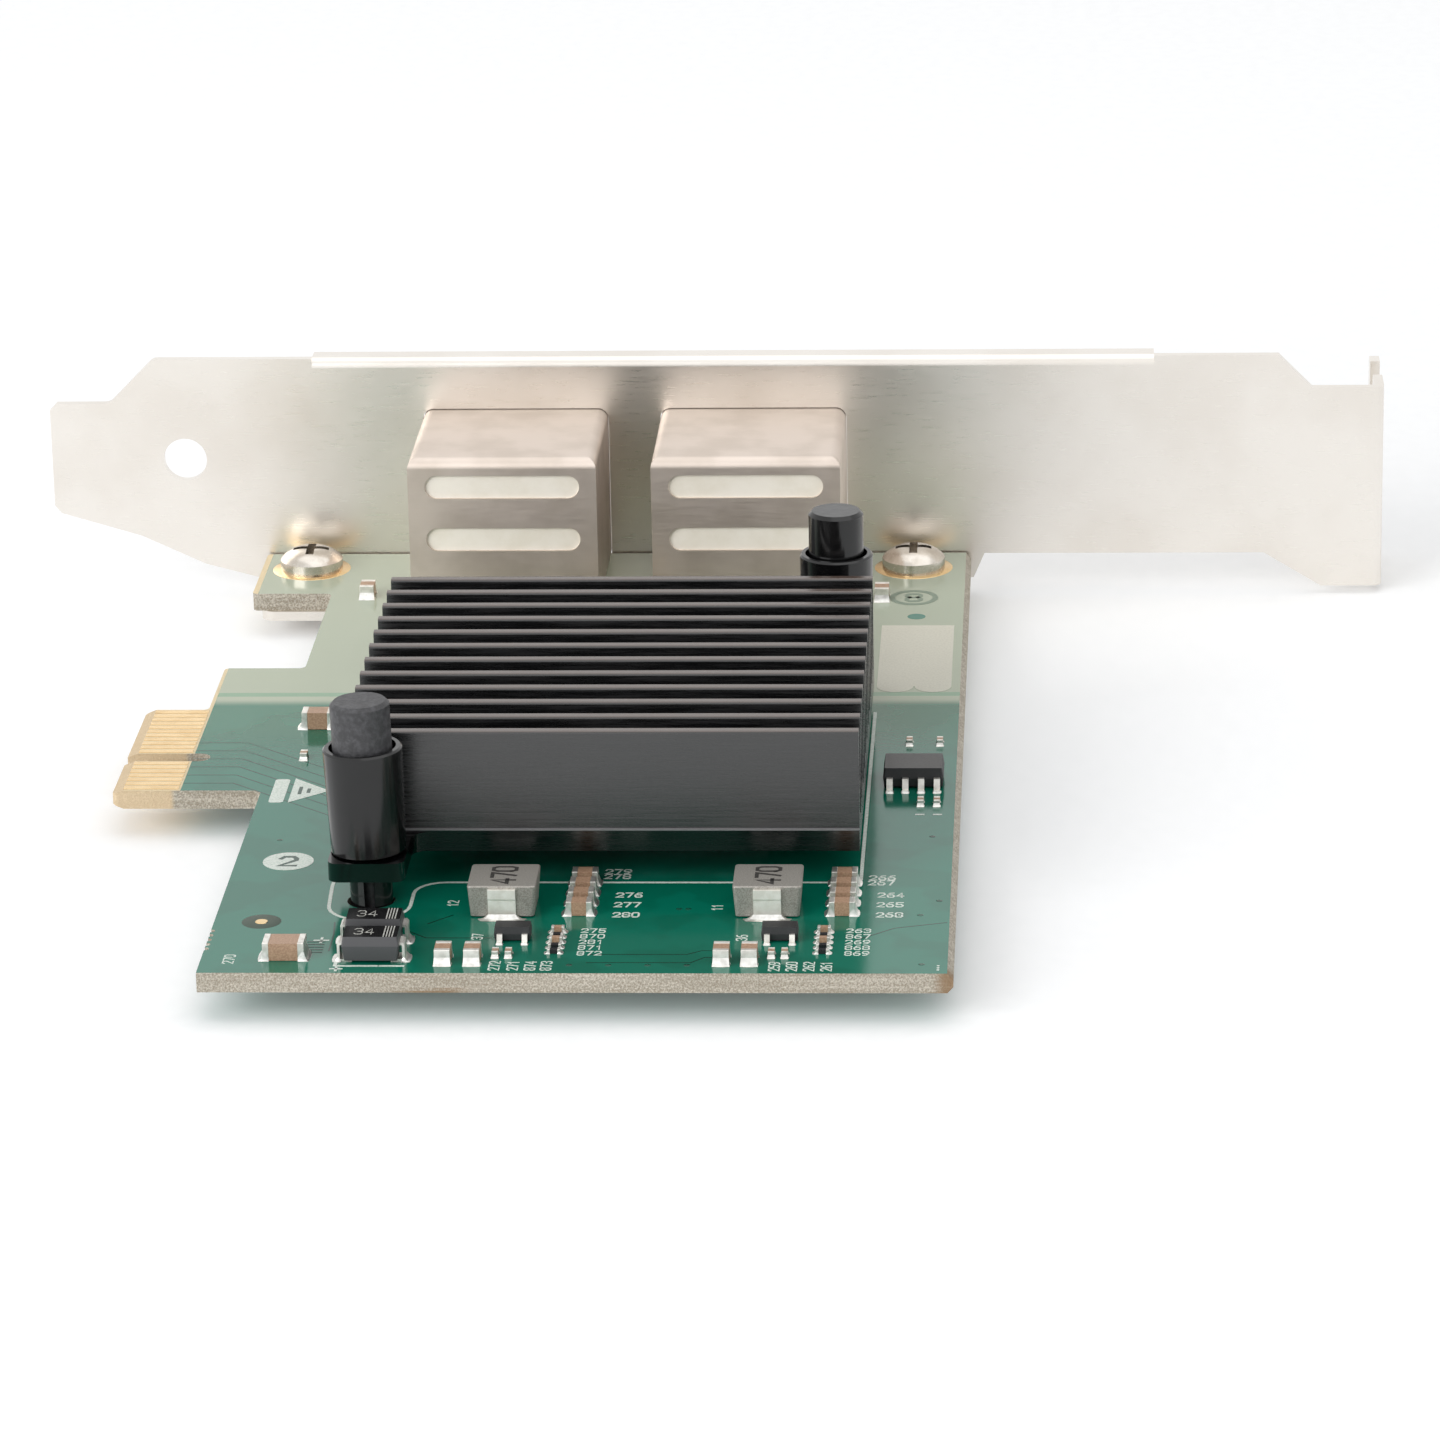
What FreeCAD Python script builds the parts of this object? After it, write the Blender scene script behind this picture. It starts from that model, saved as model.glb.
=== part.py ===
import FreeCAD, Part
import math
import os

# A dual-port network interface card for a PCI Express x1 slot, lying flat with its component side up.
# Sizes are millimetres. While it is being built, the card is measured from its board:
# X runs from the board's left edge (the contact tongue reaches beyond it, towards -X),
# Y runs from the board's front edge back to the bracket, and Z is 0 on the board's top face.
# export() moves every piece into the card's own frame: the middle of its footprint, on the floor.

# ---------------------------------------------------------------- driving dimensions
BOARD_WIDTH = 56.7          # board alone, without the contact tongue
BOARD_LENGTH = 104.7        # front edge to the edge beside the bracket
BOARD_THICK = 1.57
BOARD_UNDER = -BOARD_THICK  # the underside's height
CUT_LOW = BOARD_UNDER - 1   # cuts through the board run from here ...
CUT_HIGH = 1.0              # ... to here

TONGUE_REACH = 12.2         # contact tip beyond the board's left edge
TONGUE_START = 40.7         # front side of the tongue
TONGUE_WIDTH = 20.3         # 18 contacts and the key
KEY_TO_START = 8.15         # key slot's centre from the tongue's front side
KEY_WIDTH = 1.9
KEY_DEPTH = 7.0
TIP_BEVEL = 0.9
SHOULDER_REACH = 6.9        # the step behind the tongue that guides it into the slot
SHOULDER_END = 72.0
EAR_REACH = 7.1             # the corner lug that takes the bracket's left screw
EAR_START = 92.9

PAD_PITCH = 1.0
PAD_WIDTH = 0.7
PAD_START = 11.3            # contact pads reach from here ...
PAD_END = 6.8               # ... to here, left of the board's edge
PAD_THICK = 0.04
KEY_TO_PAD = 1.5            # key slot's centre to the nearest contact's centre
PADS_BEHIND_KEY = 11
PADS_BEFORE_KEY = 7

FLOOR = -4.0                # screw tips and push-pin barbs stand the card on the floor

BRACKET_Y = 105.0           # the bracket's inner face
BRACKET_LEFT = -26.4
BRACKET_LENGTH = 120.02
BRACKET_THICK = 0.86
BRACKET_TOP = 18.27
BRACKET_WIDTH = 18.42
BRACKET_LOW = BRACKET_TOP - BRACKET_WIDTH
BRACKET_TONGUE = 10.19      # width of the narrow end
BRACKET_TAPER = 4.11
FLANGE_DEPTH = 11.43
FLANGE_LOW = -3.3
FLANGE_TOP = 15.25
NOTCH_WIDTH = 4.42          # the chassis screw's notch in the flange
NOTCH_DEPTH = 5.6
NOTCH_FROM_FACE = 6.35
LIP_START = 23.9            # stiffening lip along the bracket's top edge, from its left end
LIP_END = 99.5
LIP_DEPTH = 2.4
BRACKET_HOLE_X = -14.3
BRACKET_HOLE_Z = 8.9
BRACKET_HOLE_R = 1.95

SCREW_XS = (-2.6, 51.6)
SCREW_Y = 100.3
SCREW_R = 1.45
SCREW_HEAD_R = 2.8
SCREW_HEAD_HIGH = 1.9
TAB_HALF_WIDTH = 3.8
TAB_FRONT = 92.6

JACK_XS = (15.8, 37.2)
JACK_WIDTH = 16.6
JACK_HEIGHT = 13.5
JACK_BACK = 89.2
JACK_FRONT = 107.2
SHELL_THICK = 0.25
JACK_PITCH = 1.02           # contact pitch of an eight-way modular jack

SINK_LEFT = 9.2
SINK_SIZE = 40.0
SINK_FRONT = 19.6
SINK_UNDER = 2.65
SINK_BASE_TOP = 4.4
SINK_TOP = 12.25
FIN_COUNT = 12
FIN_TOP_THICK = 1.0
FIN_ROOT_THICK = 1.4
SINK_CENTRE = (SINK_LEFT + SINK_SIZE / 2, SINK_FRONT + SINK_SIZE / 2)

PIN_SPOTS = ((11.6, 15.45), (46.0, 64.6))   # push pins, before and behind the heat sink
PIN_LEANS = (-1.5, 0.0)     # degrees that each pin leans towards +X; the front one sits askew
PIN_PIVOT = 3.0             # the height about which a pin leans
PIN_LOW = FLOOR + 0.035     # keeps a leaning pin's tip off the floor
PIN_TOP = 16.3
SLEEVE_TOP = 12.6
SLEEVE_LOW = 4.35
SLEEVE_R = 3.07
SLEEVE_LOW_R = 2.9
SLEEVE_BORE_R = 2.6
LEG_R = 1.65
LUG_HALF = 2.95
LUG_REACH = 3.2             # from the pin's middle to the lug's flat end
LUG_CORNER_R = 0.9
LUG_LOW = SINK_UNDER
LUG_TOP = 4.15


# ---------------------------------------------------------------- plain shapes
def point(x, y, z):
    return FreeCAD.Vector(x, y, z)


def block(x0, x1, y0, y1, z0, z1):
    """A box between two opposite corners."""
    return Part.makeBox(x1 - x0, y1 - y0, z1 - z0, point(x0, y0, z0))


def rod(x, y, z0, z1, radius):
    """An upright cylinder."""
    return Part.makeCylinder(radius, z1 - z0, point(x, y, z0), point(0, 0, 1))


def rod_along_y(x, z, y0, y1, radius):
    return Part.makeCylinder(radius, y1 - y0, point(x, y0, z), point(0, 1, 0))


def rod_along_x(y, z, x0, x1, radius):
    return Part.makeCylinder(radius, x1 - x0, point(x0, y, z), point(1, 0, 0))


def prism(corners, direction):
    """A closed outline of 3-D corners, pushed along a direction."""
    face = Part.Face(Part.makePolygon(corners + corners[:1]))
    return face.extrude(direction)


def prism_xy(outline, z0, z1):
    return prism([point(x, y, z0) for x, y in outline], point(0, 0, z1 - z0))


def prism_xz(outline, y0, y1):
    return prism([point(x, y0, z) for x, z in outline], point(0, y1 - y0, 0))


def prism_yz(outline, x0, x1):
    return prism([point(x0, y, z) for y, z in outline], point(x1 - x0, 0, 0))


def turned(profile, x, y):
    """A profile of (radius, height) corners turned about the upright axis at x, y."""
    corners = [point(x + r, y, z) for r, z in profile]
    face = Part.Face(Part.makePolygon(corners + corners[:1]))
    return face.revolve(point(x, y, 0), point(0, 0, 1), 360)


def fused(shapes):
    """Several touching shapes as one solid, with the seams between flush faces removed."""
    return shapes[0].multiFuse(shapes[1:]).removeSplitter()


def ribbon(path, thickness):
    """The outline of a strip of even thickness along a 2-D path, with mitred bends."""
    half = thickness / 2
    left, right = [], []
    for i, (u, v) in enumerate(path):
        normals = []
        for a, b in ((i - 1, i), (i, i + 1)):
            if a < 0 or b >= len(path):
                continue
            du, dv = path[b][0] - path[a][0], path[b][1] - path[a][1]
            length = math.hypot(du, dv)
            normals.append((-dv / length, du / length))
        nu = sum(n[0] for n in normals)
        nv = sum(n[1] for n in normals)
        scale = half * len(normals) / (nu * nu + nv * nv)
        left.append((u + nu * scale, v + nv * scale))
        right.append((u - nu * scale, v - nv * scale))
    return left + right[::-1]


def straight_edges(shape, direction, keep=lambda middle: True):
    """The straight edges that run along a direction and whose middle passes the test."""
    found = []
    for edge in shape.Edges:
        if edge.Curve.TypeId != "Part::GeomLine":
            continue
        tangent = edge.tangentAt(edge.FirstParameter)
        middle = edge.valueAt((edge.FirstParameter + edge.LastParameter) / 2)
        if abs(tangent.dot(direction)) > 0.999 and keep(middle):
            found.append(edge)
    return found


ALONG_X = point(1, 0, 0)
ALONG_Y = point(0, 1, 0)
ALONG_Z = point(0, 0, 1)


# ---------------------------------------------------------------- the card's own frame
CENTRE_X = BRACKET_LEFT + BRACKET_LENGTH / 2
CENTRE_Y = (BRACKET_Y + FLANGE_DEPTH) / 2
TO_CARD_FRAME = point(-CENTRE_X, -CENTRE_Y, -FLOOR)


def export(name, *solids):
    """Writes one node: a single solid, or a group of separate like solids."""
    shape = solids[0] if len(solids) == 1 else Part.makeCompound(list(solids))
    shape = shape.copy()
    shape.translate(TO_CARD_FRAME)
    shape.exportStep("parts/" + name + ".step")


# ---------------------------------------------------------------- printed circuit board
PIN_HOLE_R = 1.85
SCREW_HOLE_R = 1.65
PEG_R = 1.6
PEG_OFFSET = 5.7
PEG_Y = 98.5
CONTACT_ROWS = (93.6, 96.1)
LEG_SLOT_Y = 95.0           # slots for the shields' solder legs
LEG_SLOT_HALF_X = 0.45
LEG_SLOT_HALF_Y = 1.1
DRILL_R = 0.45
SCORE_IN = 0.45             # panel score along the right edge
SCORE_DOWN = 0.5
INNER_CORNER_R = 0.6
OUTER_CORNER_R = 0.5
WIRES_PER_JACK = 8


def board_outline():
    tongue_end = TONGUE_START + TONGUE_WIDTH
    return [
        (0, 0), (BOARD_WIDTH, 0), (BOARD_WIDTH, BOARD_LENGTH),
        (-EAR_REACH, BOARD_LENGTH), (-EAR_REACH, EAR_START), (0, EAR_START),
        (0, SHOULDER_END), (-SHOULDER_REACH, SHOULDER_END),
        (-SHOULDER_REACH, tongue_end), (-TONGUE_REACH, tongue_end),
        (-TONGUE_REACH, TONGUE_START), (0, TONGUE_START),
    ]


def key_slot():
    middle = TONGUE_START + KEY_TO_START
    inner = -TONGUE_REACH + KEY_DEPTH - KEY_WIDTH / 2
    half = KEY_WIDTH / 2
    slot = block(-TONGUE_REACH - 1, inner, middle - half, middle + half, CUT_LOW, CUT_HIGH)
    return [slot, rod(inner, middle, CUT_LOW, CUT_HIGH, half)]


def tip_bevels():
    """Wedges that slope both faces of the contact tip, so that it enters the slot easily."""
    tip, back, drop = -TONGUE_REACH, -TONGUE_REACH + TIP_BEVEL, 0.35
    y0, y1 = TONGUE_START - 1, TONGUE_START + TONGUE_WIDTH + 1
    top = prism_xz([(tip - 1, 1), (back, 1), (back, 0), (tip, -drop), (tip - 1, -drop)], y0, y1)
    low, lower = BOARD_UNDER, BOARD_UNDER - 1
    wedge = [(tip - 1, lower), (back, lower), (back, low), (tip, low + drop), (tip - 1, low + drop)]
    return [top, prism_xz(wedge, y0, y1)]


def score_cuts():
    """The sloping faces left along the right edge, where the panel was scored and snapped."""
    edge, beyond, start = BOARD_WIDTH, BOARD_WIDTH + 1, BOARD_WIDTH - SCORE_IN
    top, down = 0, -SCORE_DOWN
    low, up = BOARD_UNDER, BOARD_UNDER + SCORE_DOWN
    wedges = [[(start, top), (beyond, top), (beyond, down), (edge, down)],
              [(start, low), (edge, up), (beyond, up), (beyond, low)]]
    return [prism_xz(wedge, -1, BOARD_LENGTH + 1) for wedge in wedges]


def breakaway_holes():
    """Half holes on the left edge, where a panel tab was broken off."""
    first, pitch, count, radius, inset = 5.0, 0.95, 5, 0.28, 0.05
    return [rod(inset, first + k * pitch, CUT_LOW, CUT_HIGH, radius) for k in range(count)]


def jack_drillings(x):
    """Holes for one jack's pegs, contact pins and shield legs."""
    peg_hole_r = PEG_R + 0.07
    holes = [rod(x + side * PEG_OFFSET, PEG_Y, CUT_LOW, CUT_HIGH, peg_hole_r) for side in (-1, 1)]
    for k, wire_x in enumerate(wire_positions(x)):
        holes.append(rod(wire_x, CONTACT_ROWS[k % 2], CUT_LOW, CUT_HIGH, DRILL_R))
    for side in (-1, 1):
        leg = x + side * (JACK_WIDTH / 2 - SHELL_THICK / 2)
        holes.append(block(leg - LEG_SLOT_HALF_X, leg + LEG_SLOT_HALF_X,
                           LEG_SLOT_Y - LEG_SLOT_HALF_Y, LEG_SLOT_Y + LEG_SLOT_HALF_Y, CUT_LOW, CUT_HIGH))
    return holes


def wire_positions(x):
    return [x + (k - (WIRES_PER_JACK - 1) / 2) * JACK_PITCH for k in range(WIRES_PER_JACK)]


def circuit_board():
    board = prism_xy(board_outline(), BOARD_UNDER, 0)
    inner = straight_edges(board, ALONG_Z, lambda m: abs(m.x) < 0.01 and 1 < m.y < EAR_START + 1)
    board = board.makeFillet(INNER_CORNER_R, inner)
    far_right = (BOARD_WIDTH - 1, BOARD_LENGTH - 1)
    outer = straight_edges(board, ALONG_Z, lambda m: m.x < -1 or m.x > far_right[0] and m.y > far_right[1])
    board = board.makeFillet(OUTER_CORNER_R, outer)
    tools = key_slot() + tip_bevels() + score_cuts() + breakaway_holes()
    tools += [rod(x, y, CUT_LOW, CUT_HIGH, PIN_HOLE_R) for x, y in PIN_SPOTS]
    tools += [rod(x, SCREW_Y, CUT_LOW, CUT_HIGH, SCREW_HOLE_R) for x in SCREW_XS]
    for x in JACK_XS:
        tools += jack_drillings(x)
    return board.cut(tools)


def edge_contacts():
    """Gold pads on both faces of the tongue, eleven behind the key and seven before it."""
    key = TONGUE_START + KEY_TO_START
    rows = [key + KEY_TO_PAD + k * PAD_PITCH for k in range(PADS_BEHIND_KEY)]
    rows += [key - KEY_TO_PAD - k * PAD_PITCH for k in range(PADS_BEFORE_KEY)]
    pads = []
    for y in rows:
        y0, y1 = y - PAD_WIDTH / 2, y + PAD_WIDTH / 2
        for z in (0, BOARD_UNDER - PAD_THICK):
            pads.append(block(-PAD_START, -PAD_END, y0, y1, z, z + PAD_THICK))
    return pads


# ---------------------------------------------------------------- bracket and its screws
TAB_TOP = BOARD_UNDER
TAB_LOW = BOARD_UNDER - BRACKET_THICK
TAB_CORNER_R = 1.2
OPENING_GAP = 0.08          # between each jack and its opening in the bracket
OPENING_LOW = -0.3
FLANGE_CORNER_R = 1.2
BEND_R = 0.84               # outside radius of the sheet's bends


def bracket_outline():
    """The flat plate as corners of (x, z), without its lip, tabs and flange."""
    left, right = BRACKET_LEFT, BRACKET_LEFT + BRACKET_LENGTH
    neck_low = BRACKET_LOW + BRACKET_TAPER
    neck_top = neck_low + BRACKET_TONGUE
    plate_end = right - BRACKET_THICK
    return [
        # the narrow end's lower corner, and the slope down to the edge under the board
        (left, neck_low + 0.6), (left + 0.6, neck_low - 0.1),
        (left + 7.8, 1.7), (left + 13.6, -1.0), (left + 18.2, TAB_LOW + 0.2), (left + 20.5, TAB_LOW),
        # along under the board, then up to the plain plate and down to the flange's lower corner
        (BOARD_WIDTH + 0.2, TAB_LOW), (BOARD_WIDTH + 1.2, BRACKET_LOW),
        (left + 109.4, BRACKET_LOW), (left + 114.6, FLANGE_LOW), (plate_end, FLANGE_LOW),
        # up beside the flange, back along the top, and down to the narrow end's upper corner
        (plate_end, FLANGE_TOP), (left + 113.6, FLANGE_TOP), (left + 110.6, BRACKET_TOP),
        (left + 5.4 + BRACKET_TAPER, BRACKET_TOP), (left + 5.4, neck_top),
        (left + 0.6, neck_top), (left, neck_top - 0.6),
    ]


def bracket_flange():
    """The end that lies on the chassis: bent outwards, with an open notch for the chassis screw."""
    right = BRACKET_LEFT + BRACKET_LENGTH
    outer = BRACKET_Y + FLANGE_DEPTH
    flange = block(right - BRACKET_THICK, right, BRACKET_Y, outer, FLANGE_LOW, FLANGE_TOP)
    corners = straight_edges(flange, ALONG_X, lambda m: m.y > outer - 0.1)
    flange = flange.makeFillet(FLANGE_CORNER_R, corners)
    bend = straight_edges(flange, ALONG_Z, lambda m: m.y < BRACKET_Y + 0.1 and m.x > right - 0.1)
    flange = flange.makeFillet(BEND_R - 0.04, bend)
    notch_y = BRACKET_Y + NOTCH_FROM_FACE
    notch_z = FLANGE_TOP - NOTCH_DEPTH + NOTCH_WIDTH / 2
    half = NOTCH_WIDTH / 2
    notch = block(right - 2, right + 1, notch_y - half, notch_y + half, notch_z, FLANGE_TOP + 1)
    return flange.cut([notch, rod_along_x(notch_y, notch_z, right - 2, right + 1, half)])


def bracket_lip():
    """A narrow lip that stiffens the top edge: the sheet turned outwards through a rounded bend.

    The second shape is what the bend leaves out of the plate's own square edge.
    """
    top = BRACKET_TOP
    x0, x1 = BRACKET_LEFT + LIP_START, BRACKET_LEFT + LIP_END
    lip = block(x0, x1, BRACKET_Y, BRACKET_Y + LIP_DEPTH, top - BRACKET_THICK, top)
    edge = straight_edges(lip, ALONG_X, lambda m: m.y < BRACKET_Y + 0.1 and m.z > top - 0.1)
    lip = lip.makeFillet(BEND_R, edge)
    clear = block(x0, x1, BRACKET_Y - 1, BRACKET_Y + BEND_R, top - BEND_R, top + 1)
    round_part = rod_along_x(BRACKET_Y + BEND_R, top - BEND_R, x0, x1, BEND_R)
    return lip, clear.cut(round_part)


def bracket_tab(x):
    """A tab bent in under the board from the bracket's lower edge, with the screw's hole."""
    outer = BRACKET_Y + BRACKET_THICK
    tab = block(x - TAB_HALF_WIDTH, x + TAB_HALF_WIDTH, TAB_FRONT, outer, TAB_LOW, TAB_TOP)
    corners = straight_edges(tab, ALONG_Z, lambda m: m.y < TAB_FRONT + 0.1)
    tab = tab.makeFillet(TAB_CORNER_R, corners)
    return tab.cut(rod(x, SCREW_Y, TAB_LOW - 1, TAB_TOP + 1, SCREW_R + 0.05))


def jack_opening(x):
    """The cut that lets a jack through the plate, round where the jack's shield is folded."""
    half = JACK_WIDTH / 2 + OPENING_GAP
    top = JACK_HEIGHT + OPENING_GAP
    cut = block(x - half, x + half, BRACKET_Y - 1, BRACKET_Y + BRACKET_THICK + 1, OPENING_LOW, top)
    return cut.makeFillet(FOLD_R + OPENING_GAP, straight_edges(cut, ALONG_Y, lambda m: m.z > 1))


def bracket():
    outer = BRACKET_Y + BRACKET_THICK
    plate = prism_xz(bracket_outline(), BRACKET_Y, outer)
    soft = straight_edges(plate, ALONG_Y, lambda m: BRACKET_LEFT + 2 < m.x < BRACKET_LEFT + 18)
    plate = plate.makeFillet(1.0, soft)
    tools = [jack_opening(x) for x in JACK_XS]
    tools.append(rod_along_y(BRACKET_HOLE_X, BRACKET_HOLE_Z, BRACKET_Y - 1, outer + 1, BRACKET_HOLE_R))
    lip, bend_clearance = bracket_lip()
    plate = plate.cut(tools + [bend_clearance])
    tabs = [bracket_tab(x) for x in SCREW_XS]
    return fused([plate, lip, bracket_flange()] + tabs)


def bracket_screw(x):
    """A cross-recessed pan-head screw, driven from above through the board into the tab."""
    tip, tip_bevel = FLOOR, 0.35
    crown = 0.9
    rim = SCREW_HEAD_HIGH - crown
    profile = [point(x, SCREW_Y, tip), point(x + SCREW_R - tip_bevel, SCREW_Y, tip),
               point(x + SCREW_R, SCREW_Y, tip + tip_bevel), point(x + SCREW_R, SCREW_Y, 0),
               point(x + SCREW_HEAD_R, SCREW_Y, 0), point(x + SCREW_HEAD_R, SCREW_Y, rim)]
    top = point(x, SCREW_Y, SCREW_HEAD_HIGH)
    bulge = point(x + SCREW_HEAD_R * 0.74, SCREW_Y, rim + crown * 0.72)
    sides = [Part.LineSegment(a, b).toShape() for a, b in zip(profile, profile[1:])]
    sides.append(Part.Arc(profile[-1], bulge, top).toShape())
    sides.append(Part.LineSegment(top, profile[0]).toShape())
    screw = Part.Face(Part.Wire(sides)).revolve(point(x, SCREW_Y, 0), ALONG_Z, 360)
    long, wide, deep = 1.6, 0.36, 1.25
    low, high = SCREW_HEAD_HIGH - deep, SCREW_HEAD_HIGH + 1
    cross = [block(x - long, x + long, SCREW_Y - wide, SCREW_Y + wide, low, high),
             block(x - wide, x + wide, SCREW_Y - long, SCREW_Y + long, low, high)]
    return screw.cut(cross)


# ---------------------------------------------------------------- heat sink and what it clamps
def fin(index):
    """One fin, a little thinner at its rounded top than at its root."""
    pitch = (SINK_SIZE - FIN_ROOT_THICK) / (FIN_COUNT - 1)
    middle = SINK_FRONT + FIN_ROOT_THICK / 2 + index * pitch
    root, tip = FIN_ROOT_THICK / 2, FIN_TOP_THICK / 2
    low, crest_r = SINK_BASE_TOP - 0.2, 0.22
    section = [(middle - root, low), (middle + root, low),
               (middle + tip, SINK_TOP), (middle - tip, SINK_TOP)]
    shape = prism_yz(section, SINK_LEFT, SINK_LEFT + SINK_SIZE)
    crest = straight_edges(shape, ALONG_X, lambda m: m.z > SINK_TOP - 0.1)
    return shape.makeFillet(crest_r, crest)


def sink_lug(spot, side):
    """The flat lug that a push pin passes through; side is the way back to the base."""
    x, y = spot
    tip = y - side * LUG_REACH
    root = SINK_CENTRE[1] - side * (SINK_SIZE / 2 + 0.3)
    inner = root + side * 1.5
    lug = block(x - LUG_HALF, x + LUG_HALF, min(tip, inner), max(tip, inner), LUG_LOW, LUG_TOP)
    lug = lug.makeFillet(LUG_CORNER_R, straight_edges(lug, ALONG_Z, lambda m: abs(m.y - tip) < 0.1))
    flare = 1.2
    edge_x = x + side * LUG_HALF
    far_x, far_y = edge_x + side * flare, root - side * flare
    corner = block(min(edge_x, far_x), max(edge_x, far_x), min(root, far_y), max(root, far_y),
                   LUG_LOW, LUG_TOP)
    return [lug, corner.cut(rod(far_x, far_y, LUG_LOW - 1, LUG_TOP + 1, flare))]


def heat_sink():
    saw_rim = 0.3   # what the saw left of the flanges, proud of the outer fins
    base = block(SINK_LEFT, SINK_LEFT + SINK_SIZE, SINK_FRONT - saw_rim, SINK_FRONT + SINK_SIZE + saw_rim,
                 SINK_UNDER, SINK_BASE_TOP)
    fins = [fin(k) for k in range(FIN_COUNT)]
    lugs = sink_lug(PIN_SPOTS[0], 1) + sink_lug(PIN_SPOTS[1], -1)
    sink = fused([base] + fins + lugs)
    return sink.cut([rod(x, y, 0, SINK_BASE_TOP + 1, LEG_R + 0.25) for x, y in PIN_SPOTS])


CHIP_HALF = 12.5
CHIP_TOP = 2.3
SUBSTRATE_TOP = 0.9


def controller_chip():
    """The network controller: a thin substrate under a smaller moulded cap."""
    x, y = SINK_CENTRE
    substrate = block(x - CHIP_HALF, x + CHIP_HALF, y - CHIP_HALF, y + CHIP_HALF, 0, SUBSTRATE_TOP)
    cap_half = CHIP_HALF - 0.8
    cap = block(x - cap_half, x + cap_half, y - cap_half, y + cap_half, SUBSTRATE_TOP, CHIP_TOP)
    cap = cap.makeChamfer(0.3, straight_edges(cap, ALONG_Z))
    return fused([substrate, cap])


def thermal_pad():
    x, y = SINK_CENTRE
    half = CHIP_HALF - 1.0
    pad = block(x - half, x + half, y - half, y + half, CHIP_TOP, SINK_UNDER)
    return pad.makeFillet(0.8, straight_edges(pad, ALONG_Z))


# ---------------------------------------------------------------- push pins
WEB_LOW = 9.0
WEB_TOP = 9.8
STEM_BORE_R = 0.95
STEM_R = 0.85
BARB_R = 2.15
BARB_TOP = BOARD_UNDER - 0.12
CAP_R = 2.3
WIRE_R = 0.2
SPRING_TURNS = 5


def leaning(shape, spot, lean):
    """A pin's piece, turned about the Y axis by the pin's lean."""
    shape.rotate(point(*spot, PIN_PIVOT), ALONG_Y, lean)
    return shape


def push_pin_sleeve(spot):
    """The barbed fastener: a skirt over the spring, and a split leg that snaps in under the board."""
    profile = [
        (STEM_BORE_R, PIN_LOW), (1.35, PIN_LOW), (BARB_R, BARB_TOP - 0.7), (BARB_R, BARB_TOP),
        (LEG_R, BARB_TOP), (LEG_R, WEB_LOW), (SLEEVE_BORE_R, WEB_LOW), (SLEEVE_BORE_R, SLEEVE_LOW),
        (SLEEVE_LOW_R, SLEEVE_LOW), (SLEEVE_R, SLEEVE_TOP - 0.15), (SLEEVE_R - 0.15, SLEEVE_TOP),
        (SLEEVE_BORE_R, SLEEVE_TOP), (SLEEVE_BORE_R, WEB_TOP), (STEM_BORE_R, WEB_TOP),
    ]
    x, y = spot
    sleeve = turned(profile, x, y)
    slot_half, slot_top = 0.4, 2.2
    split = block(x - slot_half, x + slot_half, y - SLEEVE_R - 1, y + SLEEVE_R + 1, FLOOR - 1, slot_top)
    return sleeve.cut(split)


def push_pin_plunger(spot):
    """The plunger: a plain cap to press, and a stem that keeps the split leg spread."""
    tip, point_r, point_high, bevel = -3.4, 0.35, 0.8, 0.3
    profile = [(0, tip), (point_r, tip), (STEM_R, tip + point_high), (STEM_R, WEB_TOP), (CAP_R, WEB_TOP),
               (CAP_R, PIN_TOP - bevel), (CAP_R - bevel, PIN_TOP), (0, PIN_TOP)]
    return turned(profile, *spot)


def push_pin_spring(spot, lean):
    """A helical spring between the sleeve's web and the heat sink's lug.

    It stands upright inside a leaning sleeve, moved over to the sleeve's axis at its middle.
    """
    x, y = spot
    coil_r = (LEG_R + SLEEVE_BORE_R) / 2
    gap = WIRE_R + 0.1
    low, high = LUG_TOP + gap, WEB_LOW - gap
    pitch = (high - low) / SPRING_TURNS
    helix = Part.makeHelix(pitch, high - low, coil_r)
    section = Part.Wire(Part.makeCircle(WIRE_R, point(coil_r, 0, 0), ALONG_Y))
    spring = Part.Wire(helix).makePipeShell([section], True, True)
    shift = ((low + high) / 2 - PIN_PIVOT) * math.tan(math.radians(lean))
    spring.translate(point(x + shift, y, low))
    return spring


# ---------------------------------------------------------------- modular jacks
SLOT_HALF = 6.8
SLOT_HEIGHTS = (6.15, 10.95)
SLOT_R = 1.05
CAVITY_HALF = 5.95
CAVITY_LOW = 2.6
CAVITY_TOP = 9.5
LATCH_HALF = 3.2
LATCH_TOP = 11.2
CAVITY_BACK = 94.2
LAMP_X = 5.7
LAMP_HALF = 1.5
LAMP_LOW = 10.1
LAMP_TOP = 12.3
LAMP_BACK = 102.5
HOUSING_BACK = 92.4
FOLD_R = 0.9                # outside radius of the shield's folds
INNER_FOLD_R = 0.7          # what is inside the shield clears the folds' inner side
LEG_HALF = 0.8
LEG_LOW = -3.0
WIRE_LOW = -3.1
WIRE_SECTION = 0.28
WIRE_HALF_WIDTH = 0.2


def socket_cut(x, y0, y1, grow):
    """The plug's way in: a wide channel with a narrower one above it for the plug's latch."""
    half, latch = CAVITY_HALF + grow, LATCH_HALF + grow
    return [block(x - half, x + half, y0, y1, CAVITY_LOW - grow, CAVITY_TOP + grow),
            block(x - latch, x + latch, y0, y1, CAVITY_TOP - 0.1, LATCH_TOP + grow)]


def lamp_window(x, side, y0, y1, grow):
    middle = x + side * LAMP_X
    half = LAMP_HALF + grow
    return block(middle - half, middle + half, y0, y1, LAMP_LOW - grow, LAMP_TOP + grow)


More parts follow.
